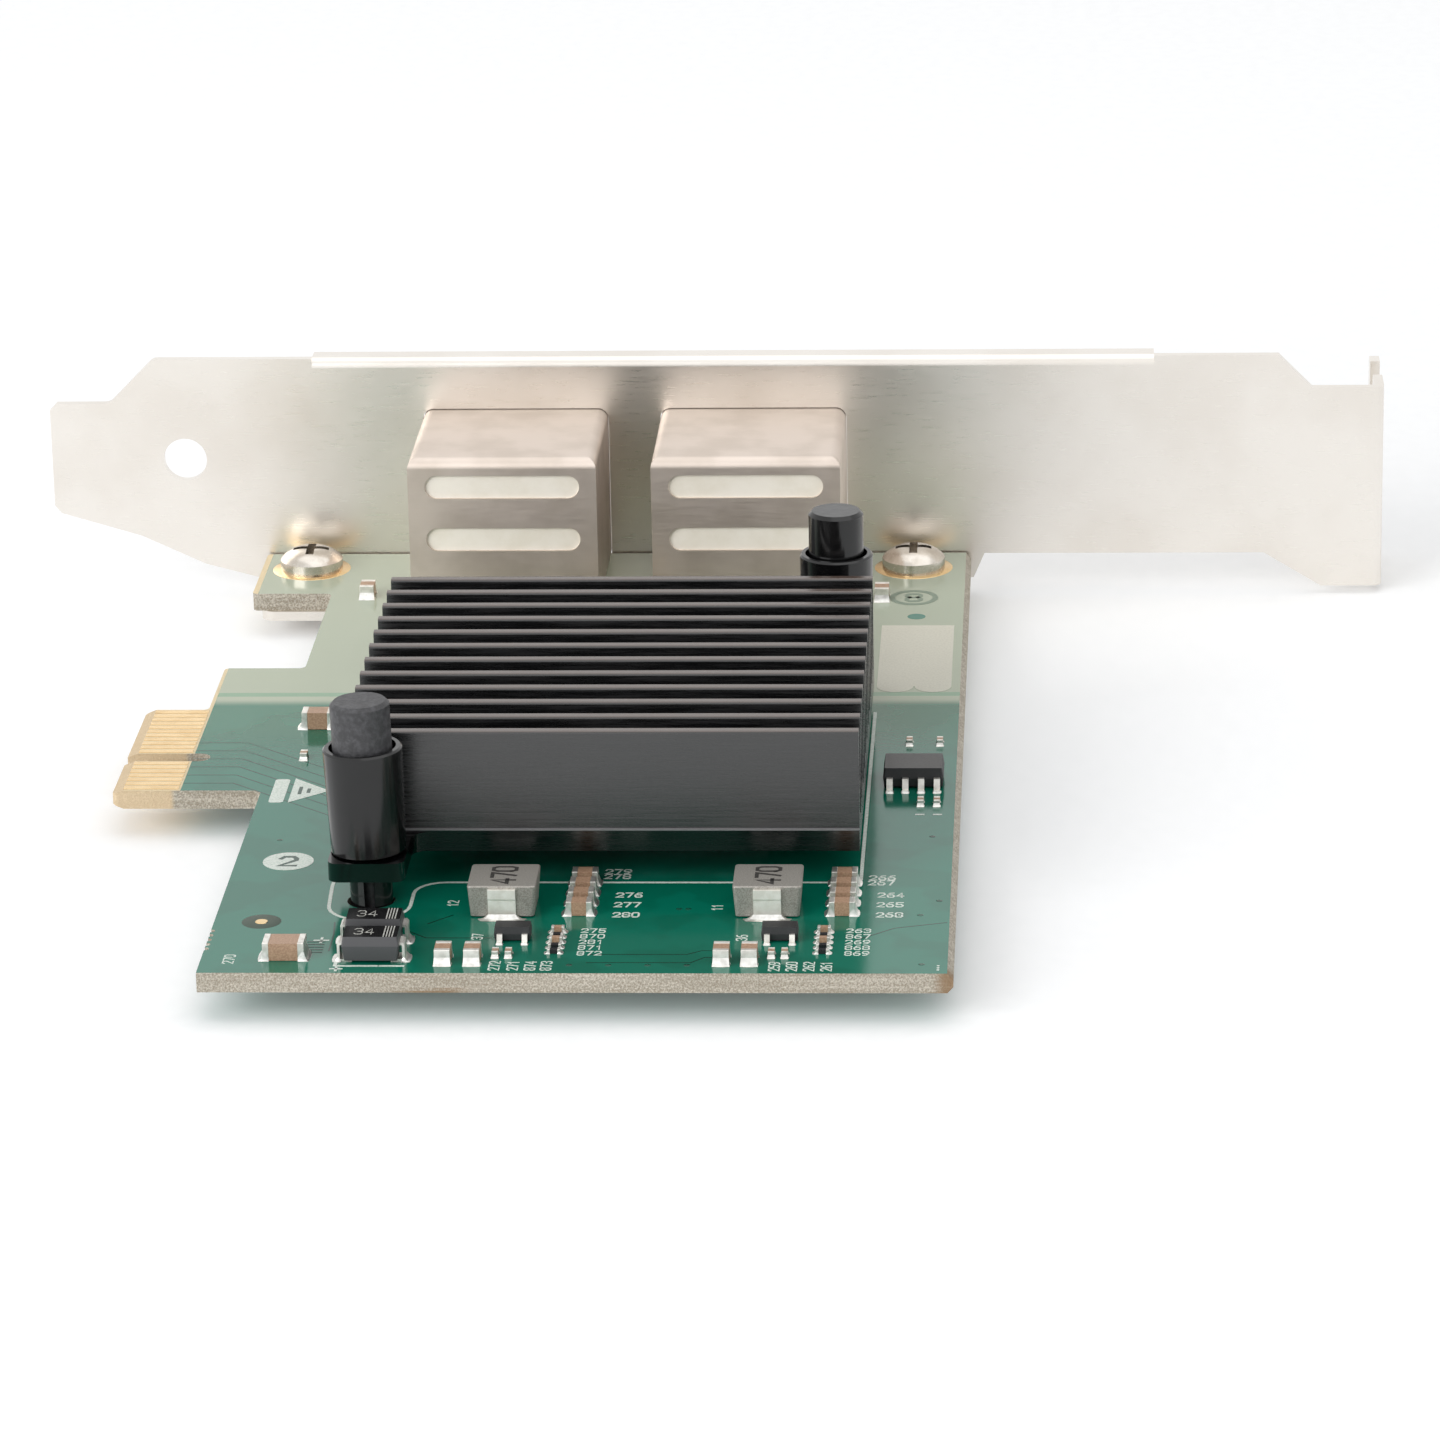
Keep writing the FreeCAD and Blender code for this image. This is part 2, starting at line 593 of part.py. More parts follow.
def stadium_slot(x, z):
    """A long slot with round ends through the shield's back wall."""
    y0, y1 = JACK_BACK - 1, JACK_BACK + SHELL_THICK + 0.01
    straight = SLOT_HALF - SLOT_R
    return [block(x - straight, x + straight, y0, y1, z - SLOT_R, z + SLOT_R),
            rod_along_y(x - straight, z, y0, y1, SLOT_R), rod_along_y(x + straight, z, y0, y1, SLOT_R)]


def jack_shell(x):
    """The drawn and folded shield: four walls and a front frame, open below, on four solder legs."""
    half, wall = JACK_WIDTH / 2, SHELL_THICK
    outer = block(x - half, x + half, JACK_BACK, JACK_FRONT, 0, JACK_HEIGHT)
    folds = straight_edges(outer, ALONG_X, lambda m: m.y < JACK_BACK + 0.1 and m.z > 1)
    folds += straight_edges(outer, ALONG_Y, lambda m: m.z > 1)
    outer = outer.makeFillet(FOLD_R, folds)
    inner = block(x - half + wall, x + half - wall, JACK_BACK + wall, JACK_FRONT - wall,
                  -1, JACK_HEIGHT - wall)
    folds = straight_edges(inner, ALONG_X, lambda m: m.y < JACK_BACK + 1 and m.z > 1)
    folds += straight_edges(inner, ALONG_Y, lambda m: m.z > 1)
    inner = inner.makeFillet(FOLD_R - wall, folds)
    tools = [inner] + socket_cut(x, JACK_FRONT - 1, JACK_FRONT + 1, 0.1)
    tools += [lamp_window(x, side, JACK_FRONT - 1, JACK_FRONT + 1, 0.05) for side in (-1, 1)]
    for z in SLOT_HEIGHTS:
        tools += stadium_slot(x, z)
    shell = outer.cut(tools)
    legs = []
    for side in (-1, 1):
        face = x + side * half
        legs.append(block(min(face, face - side * wall), max(face, face - side * wall),
                          LEG_SLOT_Y - LEG_HALF, LEG_SLOT_Y + LEG_HALF, LEG_LOW, 0.5))
    return fused([shell] + legs)


def contact_wire(x, row):
    """A gold spring wire: a solder pin, a run under the socket floor, and a sloping spring end."""
    path = [(row, WIRE_LOW), (row, 1.3), (105.0, 1.3), (105.6, 1.9), (105.2, 2.5), (96.2, 4.75)]
    return prism_yz(ribbon(path, WIRE_SECTION), x - WIRE_HALF_WIDTH, x + WIRE_HALF_WIDTH)


def jack_contacts(x):
    return [contact_wire(wire_x, CONTACT_ROWS[k % 2]) for k, wire_x in enumerate(wire_positions(x))]


def jack_housing(x, contacts):
    """The black moulding that the plug enters, with two pegs that locate it on the board."""
    half = JACK_WIDTH / 2 - SHELL_THICK
    top = JACK_HEIGHT - SHELL_THICK
    body = block(x - half + 0.05, x + half - 0.05, HOUSING_BACK, JACK_FRONT - SHELL_THICK, 0.1, top)
    body = body.makeFillet(INNER_FOLD_R, straight_edges(body, ALONG_Y, lambda m: m.z > 1))
    tools = socket_cut(x, CAVITY_BACK, JACK_FRONT + 1, 0)
    for side in (-1, 1):
        tools.append(lamp_window(x, side, LAMP_BACK, JACK_FRONT + 1, 0))
    comb = [block(wire_x - 0.22, wire_x + 0.22, CAVITY_BACK, 105.9, 1.0, CAVITY_LOW + 0.1)
            for wire_x in wire_positions(x)]
    pegs = [rod(x + side * PEG_OFFSET, PEG_Y, LEG_LOW, 0.2, PEG_R) for side in (-1, 1)]
    body = fused([body] + pegs)
    return body.cut(tools + comb + contacts)


def jack_insert(x):
    """The pale rear wafer that holds the contact wires, closing the housing's back."""
    half = JACK_WIDTH / 2 - SHELL_THICK
    top = JACK_HEIGHT - SHELL_THICK
    side = half - 0.1
    insert = block(x - side, x + side, JACK_BACK + SHELL_THICK, HOUSING_BACK, 0.1, top - 0.1)
    crest = straight_edges(insert, ALONG_X, lambda m: m.z > 1 and m.y < JACK_BACK + 1)
    sides = straight_edges(insert, ALONG_Y, lambda m: m.z > 1)
    return insert.makeFillet(INNER_FOLD_R, crest + sides)


def jack_lamp(x, side):
    lens = lamp_window(x, side, LAMP_BACK, JACK_FRONT, -0.03)
    front = straight_edges(lens, ALONG_Z, lambda m: m.y > JACK_FRONT - 0.1)
    return lens.makeFillet(0.25, front)


# ---------------------------------------------------------------- chip-style parts
MOULD_CORNER_R = 0.12


def gull_lead(spot, out, reach, width, shoulder, thick=0.2):
    """A lead that leaves a body at shoulder height, steps down and lies on its pad.

    spot is where it leaves the body, out is +1 or -1 along Y, and reach is how far it goes.
    """
    x, y = spot
    foot = reach * 0.45
    path = [(y, shoulder), (y + out * (reach - foot) * 0.55, shoulder),
            (y + out * (reach - foot), thick / 2), (y + out * reach, thick / 2)]
    return prism_yz(ribbon(path, thick), x - width / 2, x + width / 2)


def rounded_section(x, y, size, z, radius):
    """A level rectangle with rounded corners, as a closed wire."""
    half_x, half_y = size[0] / 2, size[1] / 2
    slab = block(x - half_x, x + half_x, y - half_y, y + half_y, z, z + 1)
    slab = slab.makeFillet(radius, straight_edges(slab, ALONG_Z))
    under = min(slab.Faces, key=lambda face: face.CenterOfMass.z)
    return under.OuterWire


def moulded_body(x, y, size, z0, z1, parting, draft):
    """A moulded package, widest at the parting line where its leads leave the mould."""
    wires = []
    for inset, z in ((draft * 0.8 * (parting - z0) / (z1 - parting), z0), (0, parting), (draft, z1)):
        wires.append(rounded_section(x, y, (size[0] - 2 * inset, size[1] - 2 * inset), z, MOULD_CORNER_R))
    return Part.makeLoft(wires, True, True)


def lead_rows(x, y, body_depth, count, pitch, reach, width, shoulder, thick=0.2):
    leads = []
    for out in (-1, 1):
        for k in range(count):
            spot = (x + (k - (count - 1) / 2) * pitch, y + out * body_depth / 2)
            leads.append(gull_lead(spot, out, reach, width, shoulder, thick))
    return leads


MEMORY_SPOT = (52.85, 43.05)
MEMORY_SIZE = (4.9, 3.9)
MEMORY_SHOULDER = 0.85
REGULATOR_SPOTS = ((23.25, 7.35), (43.5, 7.35))
REGULATOR_SIZE = (2.8, 1.55)
REGULATOR_SHOULDER = 0.6
REGULATOR_PITCH = 0.95
REGULATOR_ROWS = ((-1, (-1, 1)), (1, (-1, 0, 1)))   # two outer leads in front, three behind
MAGNETIC_SPOTS = ((16.4, 74.2), (36.6, 74.2))
MAGNETIC_SIZE = (15.2, 12.0)
MAGNETIC_SHOULDER = 1.6


def memory_chip():
    return moulded_body(*MEMORY_SPOT, MEMORY_SIZE, 0.15, 1.7, MEMORY_SHOULDER, 0.14)


def memory_leads():
    return lead_rows(*MEMORY_SPOT, MEMORY_SIZE[1], 4, 1.27, 1.05, 0.5, MEMORY_SHOULDER)


def regulator(spot):
    return moulded_body(*spot, REGULATOR_SIZE, 0.1, 1.15, REGULATOR_SHOULDER, 0.07)


def regulator_leads():
    reach, width, thick = 0.65, 0.42, 0.14
    leads = []
    for x, y in REGULATOR_SPOTS:
        for out, columns in REGULATOR_ROWS:
            for column in columns:
                spot = (x + column * REGULATOR_PITCH, y + out * REGULATOR_SIZE[1] / 2)
                leads.append(gull_lead(spot, out, reach, width, REGULATOR_SHOULDER, thick))
    return leads


def magnetics_module(spot):
    return moulded_body(*spot, MAGNETIC_SIZE, 0.2, 5.7, MAGNETIC_SHOULDER, 0.3)


def magnetics_leads():
    leads = []
    for x, y in MAGNETIC_SPOTS:
        leads += lead_rows(x, y, MAGNETIC_SIZE[1], 12, 1.27, 1.5, 0.45, MAGNETIC_SHOULDER, 0.25)
    return leads


# ---------------------------------------------------------------- power parts
INDUCTOR_SPOTS = ((22.05, 14.05), (42.35, 14.05))
INDUCTOR_LOW_SIZE = (4.9, 4.6)
INDUCTOR_TOP_SIZE = (5.3, 5.0)
INDUCTOR_LOW = 0.1
INDUCTOR_TOP = 2.6
CLIP_HALF = 1.06
CLIP_TOP = 2.35
CLIP_STEP = 1.6             # the clip stands further out above this height
CLIP_PROUD = 0.25
CLIP_THICK = 0.12
CLIP_GAP = 0.01
CLIP_FOOT = 0.8


def inductor(spot):
    """A pressed-powder inductor, a little wider at its top than at its foot."""
    foot = rounded_section(*spot, INDUCTOR_LOW_SIZE, INDUCTOR_LOW, 0.3)
    top = rounded_section(*spot, INDUCTOR_TOP_SIZE, INDUCTOR_TOP, 0.3)
    body = Part.makeLoft([foot, top], True, True)
    crest = [edge for edge in body.Edges if edge.BoundBox.ZMin > INDUCTOR_TOP - 0.01]
    return body.makeFillet(0.12, crest)


def inductor_face(z):
    """How far the front and back faces stand from the inductor's middle at a height."""
    share = (z - INDUCTOR_LOW) / (INDUCTOR_TOP - INDUCTOR_LOW)
    return (INDUCTOR_LOW_SIZE[1] + share * (INDUCTOR_TOP_SIZE[1] - INDUCTOR_LOW_SIZE[1])) / 2


def inductor_clips(spot):
    """Flat terminals on the front and back faces: bulged above, then folded down to the board."""
    x, y = spot
    clips = []
    for out in (-1, 1):
        profile = [
            (inductor_face(CLIP_TOP) + CLIP_GAP, CLIP_TOP),
            (inductor_face(CLIP_TOP) + CLIP_PROUD, CLIP_TOP),
            (inductor_face(CLIP_STEP) + CLIP_PROUD, CLIP_STEP),
            (inductor_face(CLIP_STEP) + CLIP_THICK, CLIP_STEP - 0.15),
            (inductor_face(0) + CLIP_THICK, 0),
            (inductor_face(0) - CLIP_FOOT, 0),
            (inductor_face(0) - CLIP_FOOT, INDUCTOR_LOW),
            (inductor_face(INDUCTOR_LOW) + CLIP_GAP, INDUCTOR_LOW),
        ]
        outline = [(y + out * reach, z) for reach, z in profile]
        clips.append(prism_yz(outline, x - CLIP_HALF, x + CLIP_HALF))
    return clips


DIODE_SPOTS = ((12.95, 3.1), (12.8, 6.9))
DIODE_SIZE = (4.35, 2.6)
DIODE_LOW = 0.22
DIODE_TOP = 2.15
DIODE_SHOULDER = 1.42
DIODE_LEAD_HALF = 0.72
DIODE_LEAD_THICK = 0.2


def rectifier_diode(spot):
    return moulded_body(*spot, DIODE_SIZE, DIODE_LOW, DIODE_TOP, DIODE_SHOULDER, 0.13)


def diode_leads(spot):
    """Broad leads from both ends, bent down and in under the body."""
    x, y = spot
    foot_z, soft = DIODE_LEAD_THICK / 2, 0.1
    leads = []
    for out in (-1, 1):
        end = x + out * DIODE_SIZE[0] / 2
        knee = end + out * 0.28
        path = [(end, DIODE_SHOULDER), (knee - out * soft, DIODE_SHOULDER), (knee, DIODE_SHOULDER - soft),
                (knee, foot_z + soft), (knee - out * soft, foot_z), (end - out * 0.7, foot_z)]
        outline = ribbon(path, DIODE_LEAD_THICK)
        leads.append(prism_xz(outline, y - DIODE_LEAD_HALF, y + DIODE_LEAD_HALF))
    return leads


# ---------------------------------------------------------------- ceramic chips
# Each row: middle x, middle y, length, width, height, and the axis that the length lies along.
BULK_CAPACITOR = (6.3, 3.5, 3.15, 2.1, 1.42, "x")
INPUT_CAPACITORS = tuple((x, 2.65, 2.0, 1.2, 1.2, "y") for x in (18.36, 20.57, 39.3, 41.4))
OUTPUT_XS = (27.9, 48.03)
OUTPUT_CAPACITORS = tuple((x, 12.66 + 2.2 * k, 2.0, 1.25, 1.15, "x") for x in OUTPUT_XS for k in range(4))
COLUMN_XS = (26.57, 46.8)   # each regulator's column of five small chips, front to back
COLUMN_START = 4.25
COLUMN_PITCH = 1.1
COLUMN_CAPACITORS = (2, 4)
COLUMN_RESISTORS = (0, 1, 3)
SMALL_SPOTS = ((22.2, 3.7), (23.2, 3.7), (43.0, 3.7), (44.0, 3.7),
               (53.5, 37.4), (54.8, 37.4), (52.3, 52.1), (54.8, 52.1))
SMALL_CAPACITORS = tuple((x, y, 1.0, 0.5, 0.5, "y") for x, y in SMALL_SPOTS)
SMALL_CAPACITORS += tuple((x, COLUMN_START + COLUMN_PITCH * k, 1.0, 0.5, 0.5, "x")
                          for x in COLUMN_XS for k in COLUMN_CAPACITORS)
SIDE_CAPACITORS = ((2.9, 56.6, 2.6, 1.6, 1.5, "x"), (2.6, 48.6, 1.0, 0.6, 0.6, "y"),
                   (3.3, 92.3, 2.0, 1.25, 1.2, "y"), (49.0, 91.3, 2.0, 1.25, 1.2, "y"))
RESISTORS = tuple((x, COLUMN_START + COLUMN_PITCH * k, 1.0, 0.5, 0.35, "x")
                  for x in COLUMN_XS for k in COLUMN_RESISTORS)
END_SHARE = 0.22            # share of the length that each soldered end covers ...
END_LONGEST = 0.48          # ... but on a long chip no more than this


def chip_ranges(chip, share0, share1):
    """The X and Y ranges of a stretch of a chip, given as shares of its length."""
    x, y, length, width, height, axis = chip
    along0, along1 = (share0 - 0.5) * length, (share1 - 0.5) * length
    if axis == "x":
        return x + along0, x + along1, y - width / 2, y + width / 2
    return x - width / 2, x + width / 2, y + along0, y + along1


def end_share(chip):
    return min(END_SHARE, END_LONGEST / chip[2])


def chip_middle(chip):
    """The bare ceramic between the ends."""
    share = end_share(chip)
    return block(*chip_ranges(chip, share, 1 - share), 0.03, chip[4] - 0.03)


def chip_ends(chip):
    """The two tinned end caps, a little larger than the ceramic."""
    ends = []
    share = end_share(chip)
    for share0, share1 in ((0, share), (1 - share, 1)):
        end = block(*chip_ranges(chip, share0, share1), 0, chip[4])
        ends.append(end.makeFillet(0.04, end.Edges))
    return ends


def all_ends(chips):
    return [end for chip in chips for end in chip_ends(chip)]


# ---------------------------------------------------------------- clock crystal
CRYSTAL_SPOT = (26.5, 84.5)
CRYSTAL_SIZE = (5.0, 3.2)
CRYSTAL_BASE_TOP = 0.6
CRYSTAL_TOP = 1.1
CRYSTAL_RIM = 0.25


def crystal_base():
    x, y = CRYSTAL_SPOT
    half_x, half_y = CRYSTAL_SIZE[0] / 2, CRYSTAL_SIZE[1] / 2
    return block(x - half_x, x + half_x, y - half_y, y + half_y, 0, CRYSTAL_BASE_TOP)


def crystal_lid():
    x, y = CRYSTAL_SPOT
    half_x, half_y = CRYSTAL_SIZE[0] / 2 - CRYSTAL_RIM, CRYSTAL_SIZE[1] / 2 - CRYSTAL_RIM
    lid = block(x - half_x, x + half_x, y - half_y, y + half_y, CRYSTAL_BASE_TOP, CRYSTAL_TOP)
    return lid.makeFillet(0.3, straight_edges(lid, ALONG_Z))


# ---------------------------------------------------------------- all pieces
def main():
    os.makedirs("parts", exist_ok=True)

    export("circuit_board", circuit_board())
    export("edge_contacts", *edge_contacts())
    export("bracket", bracket())
    export("bracket_screws", *[bracket_screw(x) for x in SCREW_XS])

    export("heat_sink", heat_sink())
    export("controller_chip", controller_chip())
    export("thermal_pad", thermal_pad())
    for place, spot, lean in zip(("front", "rear"), PIN_SPOTS, PIN_LEANS):
        export("push_pin_sleeve_" + place, leaning(push_pin_sleeve(spot), spot, lean))
        export("push_pin_plunger_" + place, leaning(push_pin_plunger(spot), spot, lean))
        export("push_pin_spring_" + place, push_pin_spring(spot, lean))

    for place, x in zip(("left", "right"), JACK_XS):
        contacts = jack_contacts(x)
        export("jack_shield_" + place, jack_shell(x))
        export("jack_housing_" + place, jack_housing(x, contacts))
        export("jack_insert_" + place, jack_insert(x).cut(contacts))
        export("jack_contacts_" + place, *contacts)
    export("link_lamps", *[jack_lamp(x, -1) for x in JACK_XS])
    export("activity_lamps", *[jack_lamp(x, 1) for x in JACK_XS])

    for place, spot in zip(("left", "right"), MAGNETIC_SPOTS):
        export("magnetics_module_" + place, magnetics_module(spot))
    export("magnetics_leads", *magnetics_leads())
    export("crystal_base", crystal_base())
    export("crystal_lid", crystal_lid())
    export("memory_chip", memory_chip())
    export("memory_leads", *memory_leads())

    for place, spot in zip(("left", "right"), INDUCTOR_SPOTS):
        export("inductor_" + place, inductor(spot))
    export("inductor_clips", *[clip for spot in INDUCTOR_SPOTS for clip in inductor_clips(spot)])
    for place, spot in zip(("left", "right"), REGULATOR_SPOTS):
        export("regulator_" + place, regulator(spot))
    export("regulator_leads", *regulator_leads())
    for place, spot in zip(("front", "rear"), DIODE_SPOTS):
        export("rectifier_diode_" + place, rectifier_diode(spot))
    export("diode_leads", *[lead for spot in DIODE_SPOTS for lead in diode_leads(spot)])

    export("bulk_capacitor", chip_middle(BULK_CAPACITOR))
    for name, chips in (("input", INPUT_CAPACITORS), ("output", OUTPUT_CAPACITORS),
                        ("small", SMALL_CAPACITORS), ("side", SIDE_CAPACITORS)):
        export(name + "_capacitors", *[chip_middle(chip) for chip in chips])
    export("resistors", *[chip_middle(chip) for chip in RESISTORS])
    capacitors = INPUT_CAPACITORS + OUTPUT_CAPACITORS + SMALL_CAPACITORS + SIDE_CAPACITORS
    export("capacitor_ends", *all_ends((BULK_CAPACITOR,) + capacitors))
    export("resistor_ends", *all_ends(RESISTORS))


main()
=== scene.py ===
"""The looks of a dual-port network interface card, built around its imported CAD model.

The card lies component side up. Its own frame has X along the bracket, Y from the board's
front edge to the bracket, and Z up from the floor. Lengths below are millimetres measured
from the board's front left corner and its top face, unless a name says otherwise, and
``to_card`` turns them into the card's frame in metres.
"""

from __future__ import annotations

import logging
import math
from abc import ABC, abstractmethod
from dataclasses import dataclass, field
from enum import Enum
from typing import Any, Iterable, Sequence

import bmesh
import bpy
import numpy as np
from mathutils import Matrix, Vector

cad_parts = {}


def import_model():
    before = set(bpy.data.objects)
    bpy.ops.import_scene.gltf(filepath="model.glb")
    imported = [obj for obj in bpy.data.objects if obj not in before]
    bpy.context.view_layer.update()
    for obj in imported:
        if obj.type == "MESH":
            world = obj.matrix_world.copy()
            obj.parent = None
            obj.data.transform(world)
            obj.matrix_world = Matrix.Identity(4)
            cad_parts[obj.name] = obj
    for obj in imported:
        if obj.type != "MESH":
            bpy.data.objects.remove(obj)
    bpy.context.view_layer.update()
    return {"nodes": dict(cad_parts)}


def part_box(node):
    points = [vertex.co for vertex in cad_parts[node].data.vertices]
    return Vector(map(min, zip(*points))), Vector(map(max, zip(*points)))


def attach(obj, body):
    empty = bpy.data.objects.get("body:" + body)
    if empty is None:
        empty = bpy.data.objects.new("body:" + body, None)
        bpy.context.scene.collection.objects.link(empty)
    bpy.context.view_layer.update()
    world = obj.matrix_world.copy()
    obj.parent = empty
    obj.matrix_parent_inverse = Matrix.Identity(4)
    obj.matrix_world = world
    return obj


LOG = logging.getLogger("network_card")
MM = 0.001
BOARD_CORNER = np.array([-33.61, -58.215, 4.0])   # the board's corner in the card's frame, mm
BOARD_UNDER = -1.57                               # height of the board's underside
SHARP_EDGE = math.radians(35)                     # edges that turn more than this stay sharp
MERGE_M = 1e-7                                    # points nearer than this are one point

MEMORY = ("memory_chip",)
REGULATORS = ("regulator_left", "regulator_right")
MAGNETICS = ("magnetics_module_left", "magnetics_module_right")
DIODES = ("rectifier_diode_front", "rectifier_diode_rear")
COILS = ("inductor_left", "inductor_right")
CAPACITORS = ("bulk_capacitor", "input_capacitors", "output_capacitors", "small_capacitors",
              "side_capacitors")


# ------------------------------------------------------------------ shapes as numpy grids
@dataclass
class Surface:
    """Vertices and faces of one or more shapes, before they become a mesh.

    Attributes:
        points: Vertex positions, an array of shape (n, 3), in board millimetres.
        faces: Vertex numbers of each face.
    """

    points: np.ndarray
    faces: list[tuple[int, ...]]


def to_card(points: np.ndarray) -> np.ndarray:
    """Turns board millimetres into the card's frame in metres.

    Args:
        points: Positions measured from the board's corner, in millimetres.

    Returns:
        The same positions in the card's frame, in metres.
    """
    return (np.asarray(points, float) + BOARD_CORNER) * MM


def card_x(x: float) -> float:
    """A board X in millimetres, as the card's frame has it in metres."""
    return (x + float(BOARD_CORNER[0])) * MM


def card_y(y: float) -> float:
    """A board Y in millimetres, as the card's frame has it in metres."""
    return (y + float(BOARD_CORNER[1])) * MM


def card_z(z: float) -> float:
    """A board height in millimetres, as the card's frame has it in metres."""
    return (z + float(BOARD_CORNER[2])) * MM


def box_on_board(node: str) -> tuple[np.ndarray, np.ndarray]:
    """Finds a CAD node's box.

    Args:
        node: The CAD node's name.

    Returns:
        Its lowest and highest corners, in board millimetres.
    """
    low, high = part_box(node)
    return np.array(low) / MM - BOARD_CORNER, np.array(high) / MM - BOARD_CORNER


def grid_faces(rows: int, columns: int, wrap_rows: bool, wrap_columns: bool) -> list[tuple[int, ...]]:
    """Numbers the four corners of every cell of a grid.

    Args:
        rows: Number of points along the first parameter.
        columns: Number of points along the second parameter.
        wrap_rows: Whether the last row joins the first.
        wrap_columns: Whether the last column joins the first.

    Returns:
        One tuple of four vertex numbers for each cell.
    """
    cells = np.meshgrid(np.arange(rows if wrap_rows else rows - 1),
                        np.arange(columns if wrap_columns else columns - 1), indexing="ij")
    row, column = (numbers.ravel() for numbers in cells)
    next_row = (row + 1) % rows
    next_column = (column + 1) % columns
    quads = np.stack([row * columns + column, next_row * columns + column,
                      next_row * columns + next_column, row * columns + next_column], axis=1)
    return [tuple(quad) for quad in quads.tolist()]


def grid_surface(grid: np.ndarray, wrap_rows: bool = False, wrap_columns: bool = False,
                 cap_rows: bool = False) -> Surface:
    """Makes a surface from a grid of points.

    Args:
        grid: Positions, an array of shape (rows, columns, 3).
        wrap_rows: Whether the last row joins the first.
        wrap_columns: Whether the last column joins the first.
        cap_rows: Whether the first and last rows are closed with one face each.

    Returns:
        The surface.
    """
    rows, columns = grid.shape[:2]
    faces = grid_faces(rows, columns, wrap_rows, wrap_columns)
    if cap_rows:
        faces.append(tuple(range(columns)))
        faces.append(tuple(range((rows - 1) * columns, rows * columns))[::-1])
    return Surface(grid.reshape(-1, 3), faces)


def joined(surfaces: Iterable[Surface]) -> Surface:
    """Puts several surfaces into one.

    Args:
        surfaces: The surfaces, which may be of any size.

    Returns:
        One surface with all their points and faces.
    """
    points, faces, start = [], [], 0
    for surface in surfaces:
        points.append(surface.points)
        faces += [tuple(n + start for n in face) for face in surface.faces]
        start += len(surface.points)
    return Surface(np.concatenate(points), faces)


def spun(profile: Sequence[tuple[float, float]], centre: Sequence[float], count: int) -> Surface:
    """Turns a closed profile about an upright axis.

    Formula: the point at angle a is the centre plus (radius cos a, radius sin a, height).

    Args:
        profile: Corners as (radius, height), round a closed outline.
        centre: The axis, as x and y.
        count: Steps round the axis.

    Returns:
        The turned surface, closed both ways.
    """
    radius, height = np.array(profile, float).T
    angle = np.linspace(0, 2 * np.pi, count, endpoint=False)[:, None]
    grid = np.stack(np.broadcast_arrays(centre[0] + radius * np.cos(angle),
                                        centre[1] + radius * np.sin(angle), height), axis=2)
    return grid_surface(grid, wrap_rows=True, wrap_columns=True)


def strip(path: Sequence[Sequence[float]], width: float, low: float, high: float,
          closed: bool = False) -> Surface:
    """Carries a flat rectangle along a path in the board's plane, with mitred corners.

    Formula: at each path point, the two sides lie half a width to the left and right along the
    mean of the two runs' normals, lengthened by one over the cosine of half the turn.

    Args:
        path: Points as (x, y).
        width: The strip's width.
        low: Height of its underside.
        high: Height of its top.
        closed: Whether the path is a loop.

    Returns:
        The strip as a closed solid.
    """
    line = np.array(path, float)
    run = np.roll(line, -1, axis=0) - line
    if not closed:
        run[-1] = run[-2]
    run /= np.linalg.norm(run, axis=1)[:, None]
    before = np.roll(run, 1, axis=0)
    if not closed:
        before[0] = run[0]
        line[0] -= run[0] * width / 2
        line[-1] += run[-1] * width / 2
    normal = np.stack([-(run + before)[:, 1], (run + before)[:, 0]], axis=1)
    normal /= np.maximum(0.5 * (normal ** 2).sum(axis=1), 0.5)[:, None]
    left, right = line + normal * width / 2, line - normal * width / 2
    heights = ((left, high), (left, low), (right, low), (right, high))
    grid = np.stack([np.column_stack([side, np.full(len(line), z)]) for side, z in heights], axis=1)
    return grid_surface(grid, wrap_rows=closed, wrap_columns=True, cap_rows=not closed)


def plate(outline: np.ndarray, low: float, high: float) -> Surface:
    """Raises an outline into a thin plate.

    Formula: two rings of the same outline, at the underside and at the top.

    Args:
        outline: Points as (x, y), anticlockwise.
        low: Height of the underside.
        high: Height of the top.

    Returns:
        The plate as a closed solid.
    """
    grid = np.stack([np.column_stack([outline, np.full(len(outline), z)]) for z in (low, high)])
    return grid_surface(grid, wrap_columns=True, cap_rows=True)


def arc(centre: Sequence[float], radius: float, start_deg: float, end_deg: float, count: int) -> np.ndarray:
    """Points along a circle's arc.

    Args:
        centre: The circle's middle, as x and y.
        radius: Its radius.
        start_deg: Where the arc starts, anticlockwise from +X.
        end_deg: Where it ends.
        count: Number of points.

    Returns:
        The points, an array of shape (count, 2).
    """
    angle = np.radians(np.linspace(start_deg, end_deg, count))
    return np.column_stack([centre[0] + radius * np.cos(angle), centre[1] + radius * np.sin(angle)])


def rounded_box(left: float, right: float, front: float, back: float, radius: float) -> np.ndarray:
    """An anticlockwise rectangle with round corners.

    Args:
        left: Its lowest X.
        right: Its highest X.
        front: Its lowest Y.
        back: Its highest Y.
        radius: Corner radius.

    Returns:
        The outline's points, five on each corner.
    """
    corners = ((right - radius, front + radius, -90), (right - radius, back - radius, 0),
               (left + radius, back - radius, 90), (left + radius, front + radius, 180))
    return np.concatenate([arc((x, y), radius, start, start + 90, 5) for x, y, start in corners])


